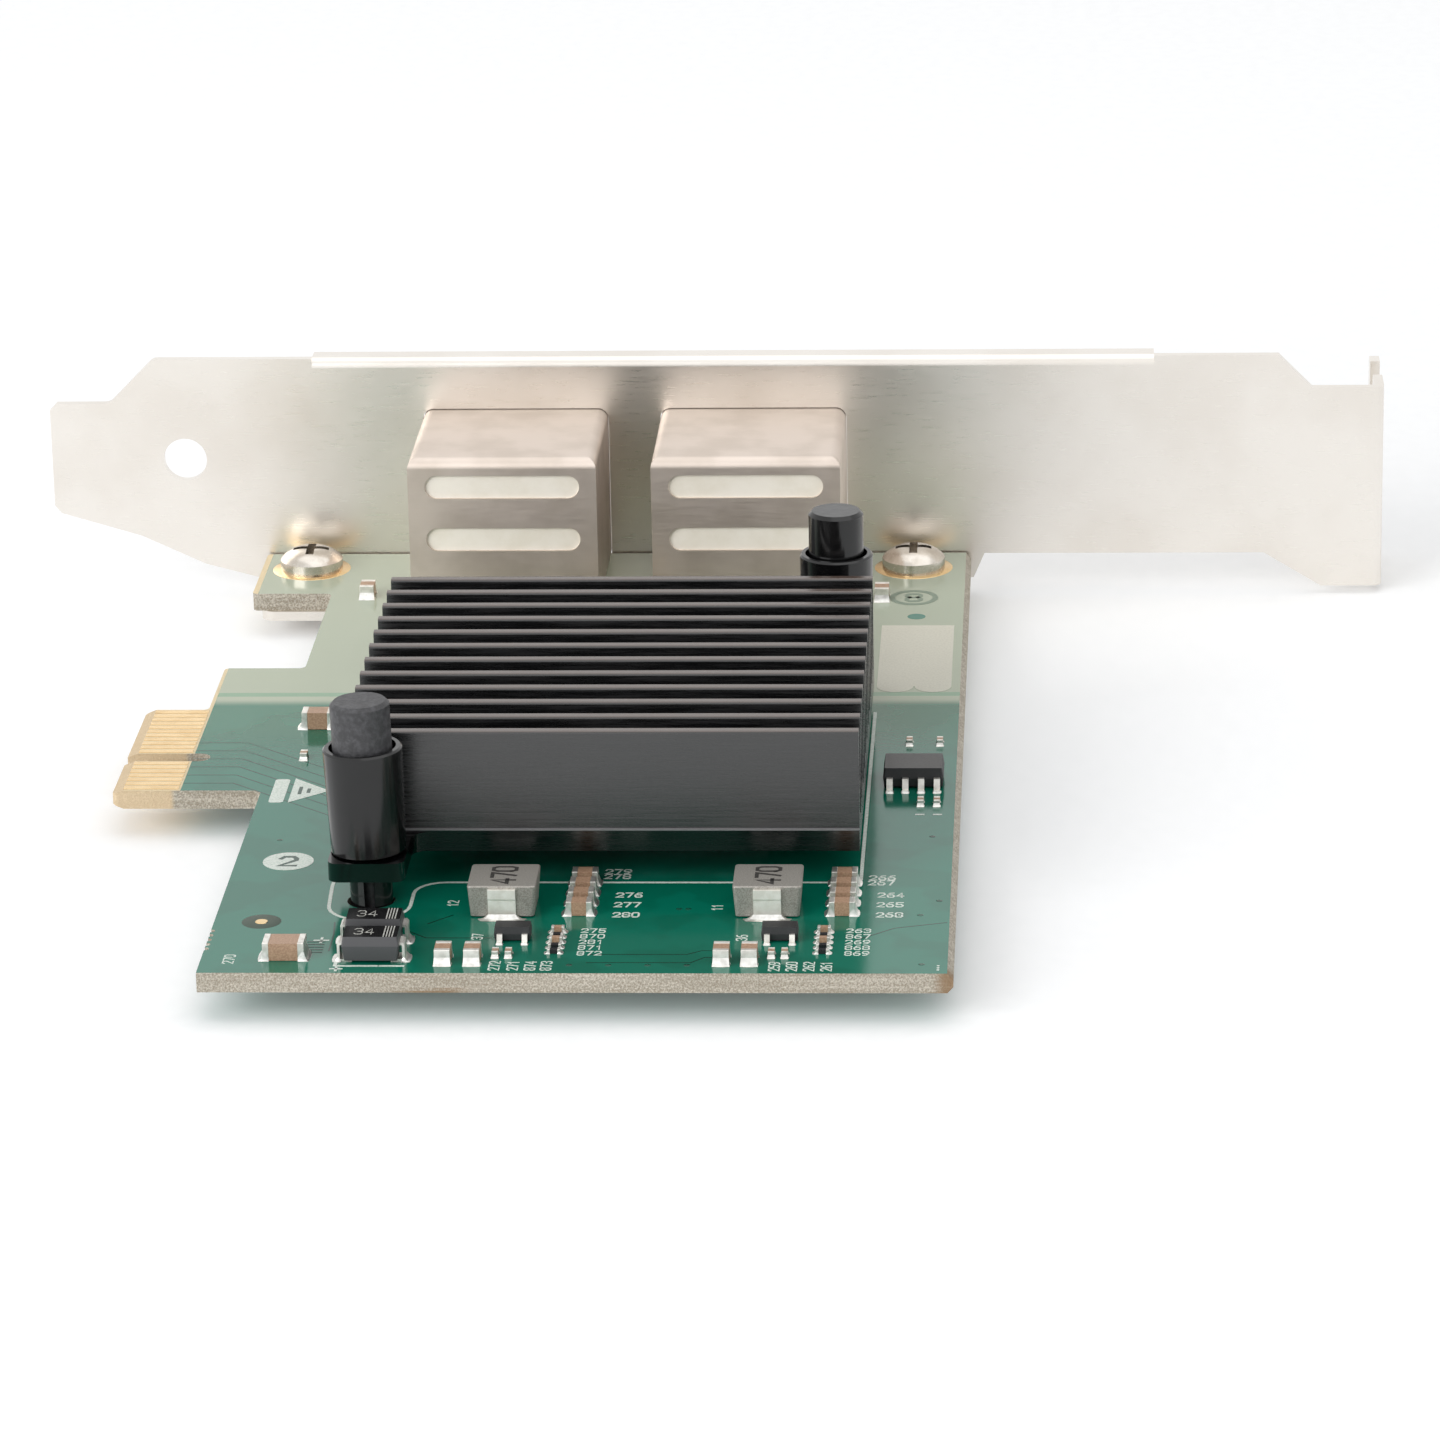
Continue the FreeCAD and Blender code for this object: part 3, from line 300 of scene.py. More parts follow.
def make_piece(name: str, surface: Surface, finish: Finish) -> None:
    """Makes a finished object from a surface, with its place in its mesh, riding on the card.

    Args:
        name: The piece's name.
        surface: Its points and faces, in board millimetres.
        finish: What it is made of.
    """
    mesh = bpy.data.meshes.new(name)
    mesh.from_pydata(to_card(surface.points).tolist(), [], surface.faces)
    work = bmesh.new()
    work.from_mesh(mesh)
    bmesh.ops.remove_doubles(work, verts=work.verts, dist=MERGE_M)
    bmesh.ops.recalc_face_normals(work, faces=work.faces)
    work.to_mesh(mesh)
    work.free()
    mesh.materials.append(finish.material())
    mesh.shade_smooth()
    mesh.set_sharp_from_angle(angle=SHARP_EDGE)
    piece = bpy.data.objects.new(name, mesh)
    bpy.context.scene.collection.objects.link(piece)
    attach(piece, "root")
    LOG.info("made %s, %d faces", name, len(mesh.polygons))


def dress(nodes: dict[str, bpy.types.Object], finish: "Finish", *names: str) -> None:
    """Gives CAD nodes a finish.

    Args:
        nodes: The frame's CAD nodes by name.
        finish: The finish they get.
        names: Which nodes.
    """
    for name in names:
        nodes[name].data.materials.clear()
        nodes[name].data.materials.append(finish.material())
        LOG.info("dressed %s in %s", name, finish.name)


def separate_boxes(node: bpy.types.Object) -> np.ndarray:
    """Finds the box of each separate solid in a CAD node.

    Formula: vertices at the same place count as one, every face lowers its corners' labels to
    the smallest among them until nothing changes, and each label left is one solid.

    Args:
        node: A CAD node that holds several solids.

    Returns:
        Boxes in board millimetres, an array of shape (solids, 2, 3), lowest corner first.
    """
    mesh = node.data
    points = np.empty(len(mesh.vertices) * 3, np.float32)
    mesh.vertices.foreach_get("co", points)
    points = points.reshape(-1, 3).astype(float)
    mesh.calc_loop_triangles()
    corners = np.empty(len(mesh.loop_triangles) * 3, np.int32)
    mesh.loop_triangles.foreach_get("vertices", corners)
    _, same = np.unique(np.round(points / 1e-6).astype(np.int64), axis=0, return_inverse=True)
    triangles = same.ravel()[corners].reshape(-1, 3)
    label = np.arange(same.max() + 1)
    while True:
        lowest = label[triangles].min(axis=1)
        new = label.copy()
        for corner in range(3):
            np.minimum.at(new, triangles[:, corner], lowest)
        if (new == label).all():
            break
        label = new
    solid = label[same.ravel()]
    groups = [points[solid == k] for k in np.unique(solid)]
    boxes = np.array([[g.min(axis=0), g.max(axis=0)] for g in groups])
    return boxes / MM - BOARD_CORNER


# ------------------------------------------------------------------ finishes
SMOOTHLY: dict[str, Any] = {"interpolation_type": "SMOOTHSTEP"}   # makes a Map Range ease in and out
AS_COLOUR: dict[str, Any] = {"data_type": "RGBA", "out": 2}       # makes a Mix take and give colours


def linear(colour: str) -> tuple[float, float, float, float]:
    """Turns an sRGB hex colour into linear red, green, blue and alpha.

    Args:
        colour: Six hex digits after a hash.

    Returns:
        Linear values from 0 to 1, with alpha 1.
    """
    parts = [int(colour[i:i + 2], 16) / 255 for i in (1, 3, 5)]
    red, green, blue = (c / 12.92 if c <= 0.04045 else ((c + 0.055) / 1.055) ** 2.4 for c in parts)
    return red, green, blue, 1.0


def add(tree: bpy.types.NodeTree, kind: str, inputs: dict[int | str, Any] | None = None,
        out: int | str | None = 0, **settings: Any) -> Any:
    """Adds a node with its settings and links.

    Args:
        tree: The node tree.
        kind: The node's type name, after its ShaderNode prefix.
        inputs: Values or other nodes' output sockets, by input name or number.
        out: The output that is wanted, by name or number, or None for all of them.
        settings: The node's own properties.

    Returns:
        The output socket, or all the node's outputs.
    """
    made = tree.nodes.new("ShaderNode" + kind)
    for key, value in settings.items():
        setattr(made, key, value)
    for key, value in (inputs or {}).items():
        if isinstance(value, bpy.types.NodeSocket):
            tree.links.new(value, made.inputs[key])
        else:
            made.inputs[key].default_value = value
    return made.outputs if out is None else made.outputs[out]


class Grain(Enum):
    """How a fine pattern is stretched on a surface."""

    EVEN = (1.0, 1.0, 1.0)
    ALONG_X = (0.04, 1.0, 1.0)
    ALONG_Z = (1.0, 1.0, 0.06)


def speckle(tree: bpy.types.NodeTree, size_mm: float, grain: Grain = Grain.EVEN, detail: float = 2.0,
            roughness: float = 0.5) -> bpy.types.NodeSocket:
    """Lays a noise pattern over an object, with spots of a real size.

    Args:
        tree: The node tree.
        size_mm: Spot size, in millimetres.
        grain: How the spots are stretched.
        detail: Octaves of finer noise.
        roughness: How strong the finer octaves are.

    Returns:
        The noise value, from 0 to 1.
    """
    place = add(tree, "TexCoord", out="Object")
    stretched = add(tree, "Mapping", {"Vector": place, "Scale": grain.value})
    return add(tree, "TexNoise", {"Vector": stretched, "Scale": 1 / (size_mm * MM),
                                  "Detail": detail, "Roughness": roughness}, out="Fac")


def two_tone(tree: bpy.types.NodeTree, pattern: bpy.types.NodeSocket, low: float, high: float,
             first: Any, second: Any) -> bpy.types.NodeSocket:
    """Goes smoothly from one colour to another as a pattern rises.

    Args:
        tree: The node tree.
        pattern: The pattern's value.
        low: Up to here there is only the first colour.
        high: From here there is only the second.
        first: A hex colour or a colour socket.
        second: A hex colour or a colour socket.

    Returns:
        The mixed colour.
    """
    share = add(tree, "MapRange", {0: pattern, 1: low, 2: high}, **SMOOTHLY)
    colours = [linear(colour) if isinstance(colour, str) else colour for colour in (first, second)]
    return add(tree, "Mix", {0: share, 6: colours[0], 7: colours[1]}, **AS_COLOUR)


def distance_from(tree: bpy.types.NodeTree, value: bpy.types.NodeSocket,
                  middle: float) -> bpy.types.NodeSocket:
    """How far a value lies from a given one, either way."""
    gap = add(tree, "Math", {0: value, 1: middle}, operation="SUBTRACT")
    return add(tree, "Math", {0: gap}, operation="ABSOLUTE")


def facing_up(tree: bpy.types.NodeTree) -> bpy.types.NodeSocket:
    """How far a face looks up: 1 for a top, 0 for a side, -1 for an underside."""
    return add(tree, "SeparateXYZ", {0: add(tree, "NewGeometry", out="Normal")}, out=2)


def seen_directly(tree: bpy.types.NodeTree) -> bpy.types.NodeSocket:
    """Tells the background that is seen from the light that it gives.

    Args:
        tree: The node tree.

    Returns:
        1 where it is seen straight on, in a reflection or through glass, and 0 for its light.
    """
    ray = add(tree, "LightPath", out=None)
    mirrored = add(tree, "Math", {0: ray["Is Camera Ray"], 1: ray["Is Glossy Ray"]}, operation="MAXIMUM")
    return add(tree, "Math", {0: mirrored, 1: ray["Is Transmission Ray"]}, operation="MAXIMUM")


@dataclass(frozen=True)
class Finish(ABC):
    """One real material and how its surface was made."""

    name: str

    @abstractmethod
    def shade(self, tree: bpy.types.NodeTree) -> dict[str, Any]:
        """Says what the surface shader gets, as Principled BSDF inputs."""

    def material(self) -> bpy.types.Material:
        """Makes the Blender material once, and finds it again after that.

        Returns:
            The material.
        """
        found = bpy.data.materials.get(self.name)
        if found:
            return found
        made = bpy.data.materials.new(self.name)
        made.use_nodes = True
        tree = made.node_tree
        tree.nodes.clear()
        shader = add(tree, "BsdfPrincipled", self.shade(tree))
        add(tree, "OutputMaterial", {"Surface": shader}, out=None)
        return made


@dataclass(frozen=True)
class SolderMask(Finish):
    """Green solder mask printed over glass-epoxy laminate.

    The mask is a glossy cured ink, a few hundredths of a millimetre thick: flat, mirror-like at
    a low angle, and a little uneven where copper lies under it. Where the board is cut, the bare
    laminate shows its pale glass cloth, and the contact tongue carries no mask at all.
    """

    name: str = "solder_mask"
    green: str = "#05705A"
    green_low: str = "#03604B"
    # painted reflection of the bright bracket on the glossy mask, past Y 62
    painted_reflection_green: str = "#A9B49F"
    strip_green: str = "#7FA58A"
    laminate: str = "#CFC8BA"
    laminate_dark: str = "#968C7B"
    laminate_tan: str = "#EFDDB8"
    tongue_edge: str = "#E6CBA2"
    stain: str = "#8A6A45"
    gloss: float = 0.13
    cut_roughness: float = 0.75
    bare_tongue_x: float = -6.6
    wisp_x: float = 17.5

    def shade(self, tree: bpy.types.NodeTree) -> dict[str, Any]:
        """Chooses mask or bare laminate by which way a face looks and where it is.

        Args:
            tree: The node tree.

        Returns:
            Values and sockets by the surface shader's input names.
        """
        place = add(tree, "TexCoord", out="Object")
        across, along, _ = add(tree, "SeparateXYZ", {0: place}, out=None)
        level = add(tree, "Math", {0: facing_up(tree)}, operation="ABSOLUTE")
        flat = add(tree, "Math", {0: level, 1: 0.97}, operation="GREATER_THAN")
        off_tongue = add(tree, "Math", {0: across, 1: card_x(self.bare_tongue_x)}, operation="GREATER_THAN")
        masked = add(tree, "Math", {0: flat, 1: off_tongue}, operation="MULTIPLY")
        cut, cloth = self.cut_edge(tree, across, along)
        bare = add(tree, "Mix", {0: flat, 6: cut, 7: linear(self.laminate_tan)}, **AS_COLOUR)
        colour = add(tree, "Mix", {0: masked, 6: bare, 7: self.ink(tree, along)}, **AS_COLOUR)
        # the ink's orange peel, about 0.8 mm across, and on the cut the cloth, twelve times as deep
        threads = add(tree, "Math", {0: cloth, 1: 12.0}, operation="MULTIPLY")
        height = add(tree, "Mix", {0: masked, 2: threads, 3: speckle(tree, 0.8)}, data_type="FLOAT")
        rough = add(tree, "MapRange", {0: masked, 3: self.cut_roughness, 4: self.gloss}, **SMOOTHLY)
        return {"Base Color": colour, "Roughness": rough, "IOR": 1.52,
                "Normal": add(tree, "Bump", {"Height": height, "Distance": 0.003 * MM})}

    def ink(self, tree: bpy.types.NodeTree, along: bpy.types.NodeSocket) -> bpy.types.NodeSocket:
        """The ink's colour, by what lies under it, and a painted reflection of the bright bracket over the
        board's far part.

        Args:
            tree: The node tree.
            along: Position along Y, in metres.

        Returns:
            The colour.
        """
        # copper pour under the ink, in patches of about 6 mm
        pour = add(tree, "MapRange", {0: speckle(tree, 6.0), 1: 0.45, 2: 0.55, 4: 0.5}, **SMOOTHLY)
        green = add(tree, "Mix", {0: pour, 6: linear(self.green), 7: linear(self.green_low)}, **AS_COLOUR)
        # from about Y 62 to the bracket the ink is painted pale, a painted reflection of the bright bracket
        # in the glossy mask, but for one strip 0.8 mm wide that is painted less pale
        green = two_tone(tree, along, card_y(61.8), card_y(63.8), green, self.painted_reflection_green)
        off_strip = distance_from(tree, along, card_y(64.9))
        return two_tone(tree, off_strip, 0.4 * MM, 0.6 * MM, self.strip_green, green)

    def cut_edge(self, tree: bpy.types.NodeTree, across: bpy.types.NodeSocket,
                 along: bpy.types.NodeSocket) -> tuple[bpy.types.NodeSocket, bpy.types.NodeSocket]:
        """The sawn laminate's colour: glass cloth with brown resin where the saw burnt it.

        Args:
            tree: The node tree.
            across: Position along X, in metres.
            along: Position along Y, in metres.

        Returns:
            The colour, and the cloth's pattern from 0 to 1.
        """
        # cut glass ends, really 0.1 mm but drawn at 0.15 mm so that they show, over bundles of 0.5 mm
        ends = speckle(tree, 0.15, Grain.EVEN, 3.0, 0.7)
        bundles = speckle(tree, 0.5, Grain.ALONG_X)
        woven = add(tree, "Math", {0: bundles, 1: 0.3, 2: ends}, operation="MULTIPLY_ADD")
        cloth = add(tree, "MapRange", {0: woven, 1: 0.5, 2: 0.8}, **SMOOTHLY)
        resin, glass = linear(self.laminate_dark), linear(self.laminate)
        colour = add(tree, "Mix", {0: cloth, 6: resin, 7: glass}, **AS_COLOUR)
        # the tongue's edge is three parts tan resin
        on_tongue = add(tree, "MapRange", {0: across, 1: card_x(-7.5), 2: card_x(-7.0), 3: 0.75, 4: 0.0},
                        **SMOOTHLY)
        colour = add(tree, "Mix", {0: on_tongue, 6: colour, 7: linear(self.tongue_edge)}, **AS_COLOUR)
        # two burnt places: the front right corner, and a wisp about 5 mm long on the front edge
        right = add(tree, "MapRange", {0: across, 1: card_x(54.9), 2: card_x(56.2), 4: 0.8}, **SMOOTHLY)
        front = add(tree, "MapRange", {0: along, 1: card_y(0.3), 2: card_y(2.0), 3: 1.0, 4: 0.0}, **SMOOTHLY)
        corner = add(tree, "Math", {0: right, 1: front}, operation="MULTIPLY")
        from_wisp = distance_from(tree, across, card_x(self.wisp_x))
        near = add(tree, "MapRange", {0: from_wisp, 1: 1.0 * MM, 2: 3.5 * MM, 3: 0.8, 4: 0.0}, **SMOOTHLY)
        smear = add(tree, "MapRange", {0: speckle(tree, 0.9, Grain.ALONG_X), 1: 0.45, 2: 0.6}, **SMOOTHLY)
        wisp = add(tree, "Math", {0: near, 1: smear}, operation="MULTIPLY")
        burnt = add(tree, "Math", {0: corner, 1: wisp}, operation="MAXIMUM")
        return add(tree, "Mix", {0: burnt, 6: colour, 7: linear(self.stain)}, **AS_COLOUR), cloth


@dataclass(frozen=True)
class Metal(Finish):
    """A bare or plated metal: rolled, drawn or tumbled, so its grain has a direction and a size."""

    colour: str
    worn_and_highlight: str
    roughness: float
    spread: float = 0.1
    grain: Grain = Grain.EVEN
    grain_mm: float = 0.1
    depth_mm: float = 0.001
    patch_mm: float = 1.0

    def shade(self, tree: bpy.types.NodeTree) -> dict[str, Any]:
        """Varies colour in patches and roughness along the grain.

        Args:
            tree: The node tree.

        Returns:
            Values and sockets by the surface shader's input names.
        """
        patch = speckle(tree, self.patch_mm, Grain.EVEN, 3.0)
        fine = speckle(tree, self.grain_mm, self.grain, 3.0, 0.6)
        low, high = self.roughness - self.spread / 2, self.roughness + self.spread / 2
        return {"Base Color": two_tone(tree, patch, 0.35, 0.7, self.colour, self.worn_and_highlight),
                "Metallic": 1.0,
                "Roughness": add(tree, "MapRange", {0: fine, 1: 0.2, 2: 0.8, 3: low, 4: high}, **SMOOTHLY),
                "Normal": add(tree, "Bump", {"Height": fine, "Distance": self.depth_mm * MM})}


@dataclass(frozen=True)
class AnodisedAluminium(Finish):
    """Extruded aluminium, dyed black in its anodic film.

    The film is a hard, clear, satin oxide over the dye, so it is near black face on and turns
    grey at a low angle. The extrusion die leaves fine lines along the fins.
    """

    name: str = "black_anodised_aluminium"
    colour: str = "#0B0B0C"
    dusty: str = "#1D1D1E"
    # painted sheen on the upward faces
    painted_sheen_on_tops: str = "#4A3B33"
    # painted shade on the sawn flange below the step
    sawn_and_painted_shade: str = "#040405"
    # the painted highlight along the step's edge
    worn_and_highlight: str = "#8B8C8E"
    relief_mm: float = 0.006
    step_z: float = 4.33
    undercut: float = 0.35
    sink_middle_y: float = 39.6
    lug_reach: float = 20.4

    def shade(self, tree: bpy.types.NodeTree) -> dict[str, Any]:
        """Draws die lines along X, faint handling marks, the sawn flange's marks under painted shade, and a
        painted highlight along the step's edge.

        Args:
            tree: The node tree.

        Returns:
            Values and sockets by the surface shader's input names.
        """
        place = add(tree, "TexCoord", out="Object")
        _, along, height = add(tree, "SeparateXYZ", {0: place}, out=None)
        # die lines, really 0.1 mm apart but drawn at 0.25 mm so that they show
        lines = speckle(tree, 0.25, Grain.ALONG_X, 4.0, 0.7)
        handled = speckle(tree, 2.5, Grain.EVEN, 5.0, 0.6)
        marks = add(tree, "MapRange", {0: handled, 1: 0.5, 2: 0.75, 4: 0.5}, **SMOOTHLY)
        drawn = add(tree, "MapRange", {0: lines, 1: 0.4, 2: 0.7}, **SMOOTHLY)
        dust = add(tree, "Math", {0: marks, 1: drawn}, operation="MAXIMUM")
        colour = add(tree, "Mix", {0: dust, 6: linear(self.colour), 7: linear(self.dusty)}, **AS_COLOUR)
        # the upward faces, the fins' crests, are painted a warm grey: a painted sheen where they catch the
        # light at a low angle
        colour = two_tone(tree, facing_up(tree), 0.5, 0.95, colour, self.painted_sheen_on_tops)
        # below the step the flange was sawn, which leaves upright chatter about 0.5 mm apart,
        # and undercut by about one in three
        below_step = add(tree, "Math", {0: height, 1: card_z(self.step_z)}, operation="SUBTRACT")
        slope = self.undercut / (self.relief_mm * MM)
        chatter = speckle(tree, 0.5, Grain.ALONG_Z, 3.0, 0.6)
        chatter = add(tree, "Math", {0: below_step, 1: slope, 2: chatter}, operation="MULTIPLY_ADD")
        edges = {1: card_z(self.step_z - 0.03), 2: card_z(self.step_z + 0.03)}
        sawn_and_painted_shade = add(tree, "MapRange", {0: height, **edges, 3: 1.0, 4: 0.0}, **SMOOTHLY)
        # the flange below the step is painted near black: painted shade and a painted dark reflection of the
        # board below
        colour = add(tree, "Mix", {0: sawn_and_painted_shade, 6: colour, 7: linear(self.sawn_and_painted_shade)}, **AS_COLOUR)
        # the step's own edge gets a painted highlight, a bright line about 0.1 mm wide
        from_step = distance_from(tree, height, card_z(self.step_z + 0.04))
        painted_step_highlight = add(tree, "MapRange", {0: from_step, 1: 0.03 * MM, 2: 0.07 * MM, 3: 0.7, 4: 0.0},
                     **SMOOTHLY)
        colour = add(tree, "Mix", {0: painted_step_highlight, 6: colour, 7: linear(self.worn_and_highlight)}, **AS_COLOUR)
        pattern = add(tree, "Mix", {0: sawn_and_painted_shade, 2: lines, 3: chatter}, data_type="FLOAT")
        # the two lugs stick out past the fins and kept their polish
        rough = add(tree, "MapRange", {0: lines, 1: 0.25, 2: 0.75, 3: 0.2, 4: 0.34}, **SMOOTHLY)
        from_middle = distance_from(tree, along, card_y(self.sink_middle_y))
        lug = add(tree, "MapRange", {0: from_middle, 1: self.lug_reach * MM, 2: (self.lug_reach + 0.3) * MM},
                  **SMOOTHLY)
        return {"Base Color": colour,
                "Roughness": add(tree, "Math", {0: lug, 1: -0.12, 2: rough}, operation="MULTIPLY_ADD"),
                "IOR": 1.85,
                "Normal": add(tree, "Bump", {"Height": pattern, "Distance": self.relief_mm * MM})}


@dataclass(frozen=True)
class Moulded(Finish):
    """A moulded plastic or epoxy: its texture is the tool's, spark-eroded or polished."""

    colour: str
    light: str
    roughness: float
    ior: float
    grain_mm: float = 0.2
    depth_mm: float = 0.004
    cloud_mm: float = 3.0
    # sides painted lighter than the top: painted light
    painted_light_side_colour: str | None = None
    grain: Grain = Grain.EVEN

    def shade(self, tree: bpy.types.NodeTree) -> dict[str, Any]:
        """Varies colour in soft clouds, with the tool's grain as a bump.

        Args:
            tree: The node tree.

        Returns:
            Values and sockets by the surface shader's input names.
        """
        cloud = speckle(tree, self.cloud_mm, Grain.EVEN, 4.0, 0.6)
        grain = speckle(tree, self.grain_mm, self.grain)
        colour = two_tone(tree, cloud, 0.35, 0.75, self.colour, self.light)
        low, high = self.roughness - 0.04, self.roughness + 0.04
        rough = add(tree, "MapRange", {0: grain, 1: 0.2, 2: 0.8, 3: low, 4: high}, **SMOOTHLY)
        if self.painted_light_side_colour:
            # the sides are left as they leave the tool, matt, under a polished top, and are painted a
            # lighter grey: painted light, as the front light falls on them
            side = add(tree, "MapRange", {0: facing_up(tree), 1: 0.85, 2: 0.95, 3: 1.0, 4: 0.0}, **SMOOTHLY)
            colour = add(tree, "Mix", {0: side, 6: colour, 7: linear(self.painted_light_side_colour)}, **AS_COLOUR)
            rough = add(tree, "Math", {0: side, 1: 0.25, 2: rough}, operation="MULTIPLY_ADD")
        return {"Base Color": colour, "Roughness": rough, "IOR": self.ior,
                "Normal": add(tree, "Bump", {"Height": grain, "Distance": self.depth_mm * MM})}


@dataclass(frozen=True)
class Fired(Finish):
    """A fired or pressed body, such as a ceramic chip or a powder core: matt, with a fine grain."""

    colour: str
    dark: str
    roughness: float
    grain_mm: float = 0.12
    depth_mm: float = 0.004
    metallic: float = 0.0

    def shade(self, tree: bpy.types.NodeTree) -> dict[str, Any]:
        """Speckles the body with its own grains.

        Args:
            tree: The node tree.

        Returns:
            Values and sockets by the surface shader's input names.
        """
        grain = speckle(tree, self.grain_mm, Grain.EVEN, 3.0, 0.6)
        low, high = self.roughness - 0.06, self.roughness + 0.06
        return {"Base Color": two_tone(tree, grain, 0.35, 0.65, self.dark, self.colour),
                "Metallic": self.metallic,
                "Roughness": add(tree, "MapRange", {0: grain, 1: 0.2, 2: 0.8, 3: low, 4: high}, **SMOOTHLY),
                "Normal": add(tree, "Bump", {"Height": grain, "Distance": self.depth_mm * MM})}


@dataclass(frozen=True)
class Ink(Finish):
    """Screen-printed ink: a thin matt film with pinholes and slightly uneven cover."""

    colour: str
    thin: str

    def shade(self, tree: bpy.types.NodeTree) -> dict[str, Any]:
        """Thins the ink in spots of 0.2 mm.

        Args:
            tree: The node tree.

        Returns:
            Values and sockets by the surface shader's input names.
        """
        spots = speckle(tree, 0.2, Grain.EVEN, 3.0)
        cover = add(tree, "MapRange", {0: spots, 1: 0.35, 2: 0.6}, **SMOOTHLY)
        colour = add(tree, "Mix", {0: cover, 6: linear(self.thin), 7: linear(self.colour)}, **AS_COLOUR)
        return {"Base Color": colour,
                "Roughness": add(tree, "MapRange", {0: cover, 3: 0.45, 4: 0.6}, **SMOOTHLY),
                "Normal": add(tree, "Bump", {"Height": cover, "Distance": 0.002 * MM})}


@dataclass(frozen=True)
class Lens(Finish):
    """A tinted, diffusing light-pipe lens, injection moulded with a faint frosting."""

    colour: str

    def shade(self, tree: bpy.types.NodeTree) -> dict[str, Any]:
        """Frosts the lens in spots of 0.1 mm.

        Args:
            tree: The node tree.

        Returns:
            Values and sockets by the surface shader's input names.
        """
        frost = speckle(tree, 0.1)
        return {"Base Color": linear(self.colour),
                "Transmission Weight": 0.45,
                "IOR": 1.49,
                "Roughness": add(tree, "MapRange", {0: frost, 1: 0.3, 2: 0.7, 3: 0.22, 4: 0.34}, **SMOOTHLY),
                "Normal": add(tree, "Bump", {"Height": frost, "Distance": 0.002 * MM})}


# Each one below gives its two colours, its roughness, and then the IOR of a moulded plastic or
# the spread of a metal's roughness. The other sizes are named.
MASK = SolderMask()
# solder mask beside a track, where no copper lies under it: darker, and just as glossy
GAP_INK = Moulded("solder_mask_over_gap", "#01402F", "#033A2C", 0.14, 1.52, grain_mm=0.5, depth_mm=0.001)
# solder mask that has sunk into a plated hole: darker, with a dimple's glint
VIA_INK = Moulded("solder_mask_over_via", "#05523F", "#023A2C", 0.16, 1.52, grain_mm=0.3, depth_mm=0.002)
# solder mask over a round spot of copper: greener than the painted reflection round it in the pale part of
# the board
TEAL_INK = Moulded("solder_mask_over_copper", "#2E7D6E", "#27705F", 0.2, 1.52, grain_mm=0.5, depth_mm=0.002)
# white epoxy ink pushed through a screen: a thin matt line, greyed a little by the green under it
LEGEND = Ink("legend_ink", "#E4EAE3", "#C6D3C8")
# the same ink laid down as a whole field for a label: warmer and duller than a line
FIELD = Ink("legend_field_ink", "#D9D7C9", "#CFCDBE")
# the same ink where the screen left too little: half seen through
FAINT = Ink("thin_legend_ink", "#8A9888", "#7C8C7C")
# pale marking ink on a black moulding: grey rather than white
MARKING = Ink("marking_ink", "#C4C4BF", "#97978F")
# dark stamping ink that has soaked into pressed powder: matt, with soft edges
STAMP = Ink("stamp_ink", "#2E2C2A", "#3B3936")
# hard gold plated over nickel and smooth copper: warm, satin, hardly any grain
GOLD = Metal("electroplated_gold", "#F5D9A8", "#EBCB96", 0.24, 0.08, grain_mm=0.12, patch_mm=2.0)
# laminate bared of copper and mask in a ring: dull olive, matt
BARE_RING = Moulded("bare_laminate_ring", "#3B4B3F", "#465548", 0.5, 1.5)
# cold-rolled steel sheet, nickel plated: satin, with faint rolling lines along it
NICKEL_STEEL = Metal("satin_nickel_on_steel", "#EEE9E2", "#E8E2DA", 0.3, 0.08, Grain.ALONG_X,
                     grain_mm=0.12, depth_mm=0.0008, patch_mm=9.0)
# drawn brass sheet, nickel plated: warmer than the steel, and softer from the drawing
SHIELD = Metal("nickel_on_drawn_brass", "#DCD0C6", "#D0C4B9", 0.48, grain=Grain.ALONG_X, patch_mm=4.0)
# a cold-headed screw, tumbled and nickel plated: brighter, with small dents
SCREW_STEEL = Metal("nickel_on_screw_steel", "#DAD4CB", "#C6BEB3", 0.24, grain_mm=0.2, depth_mm=0.002,
                    patch_mm=1.5)
# spring wire pulled through a die: grey, with lines along the wire
SPRING = Metal("drawn_spring_steel", "#9A9895", "#7E7C79", 0.3, grain=Grain.ALONG_Z, grain_mm=0.05)
# matt tin plated on leads and on chips' ends: a soft white metal with fine crystals
TIN = Metal("matt_tin_plate", "#F0EEE8", "#D8D5CE", 0.46, 0.12, grain_mm=0.08, depth_mm=0.002, patch_mm=0.6)
# copper strip dipped in solder: nearly white, and rough enough to look chalky
CLIP_TIN = Metal("solder_dipped_copper", "#FBF9F4", "#F0EDE6", 0.66, 0.12, depth_mm=0.006, patch_mm=0.8)
# solder that has melted and set: a bright skin, faintly wrinkled
SOLDER = Metal("reflowed_solder", "#F0EFEB", "#D6D5D0", 0.36, 0.14, grain_mm=0.18, depth_mm=0.006,
               patch_mm=0.5)
ANODISED = AnodisedAluminium()
# nylon from a polished tool: glossy black, with long flow lines that streak its highlights
SLEEVE = Moulded("polished_black_nylon", "#09090A", "#101011", 0.17, 1.53, grain_mm=0.9, depth_mm=0.02,
                 cloud_mm=4.0, grain=Grain.ALONG_Z)
# nylon from a spark-eroded tool: matt, grey where light catches its pits
PLUNGER = Moulded("spark_textured_black_nylon", "#303032", "#4B4B4E", 0.5, 1.53, depth_mm=0.03, cloud_mm=0.5)
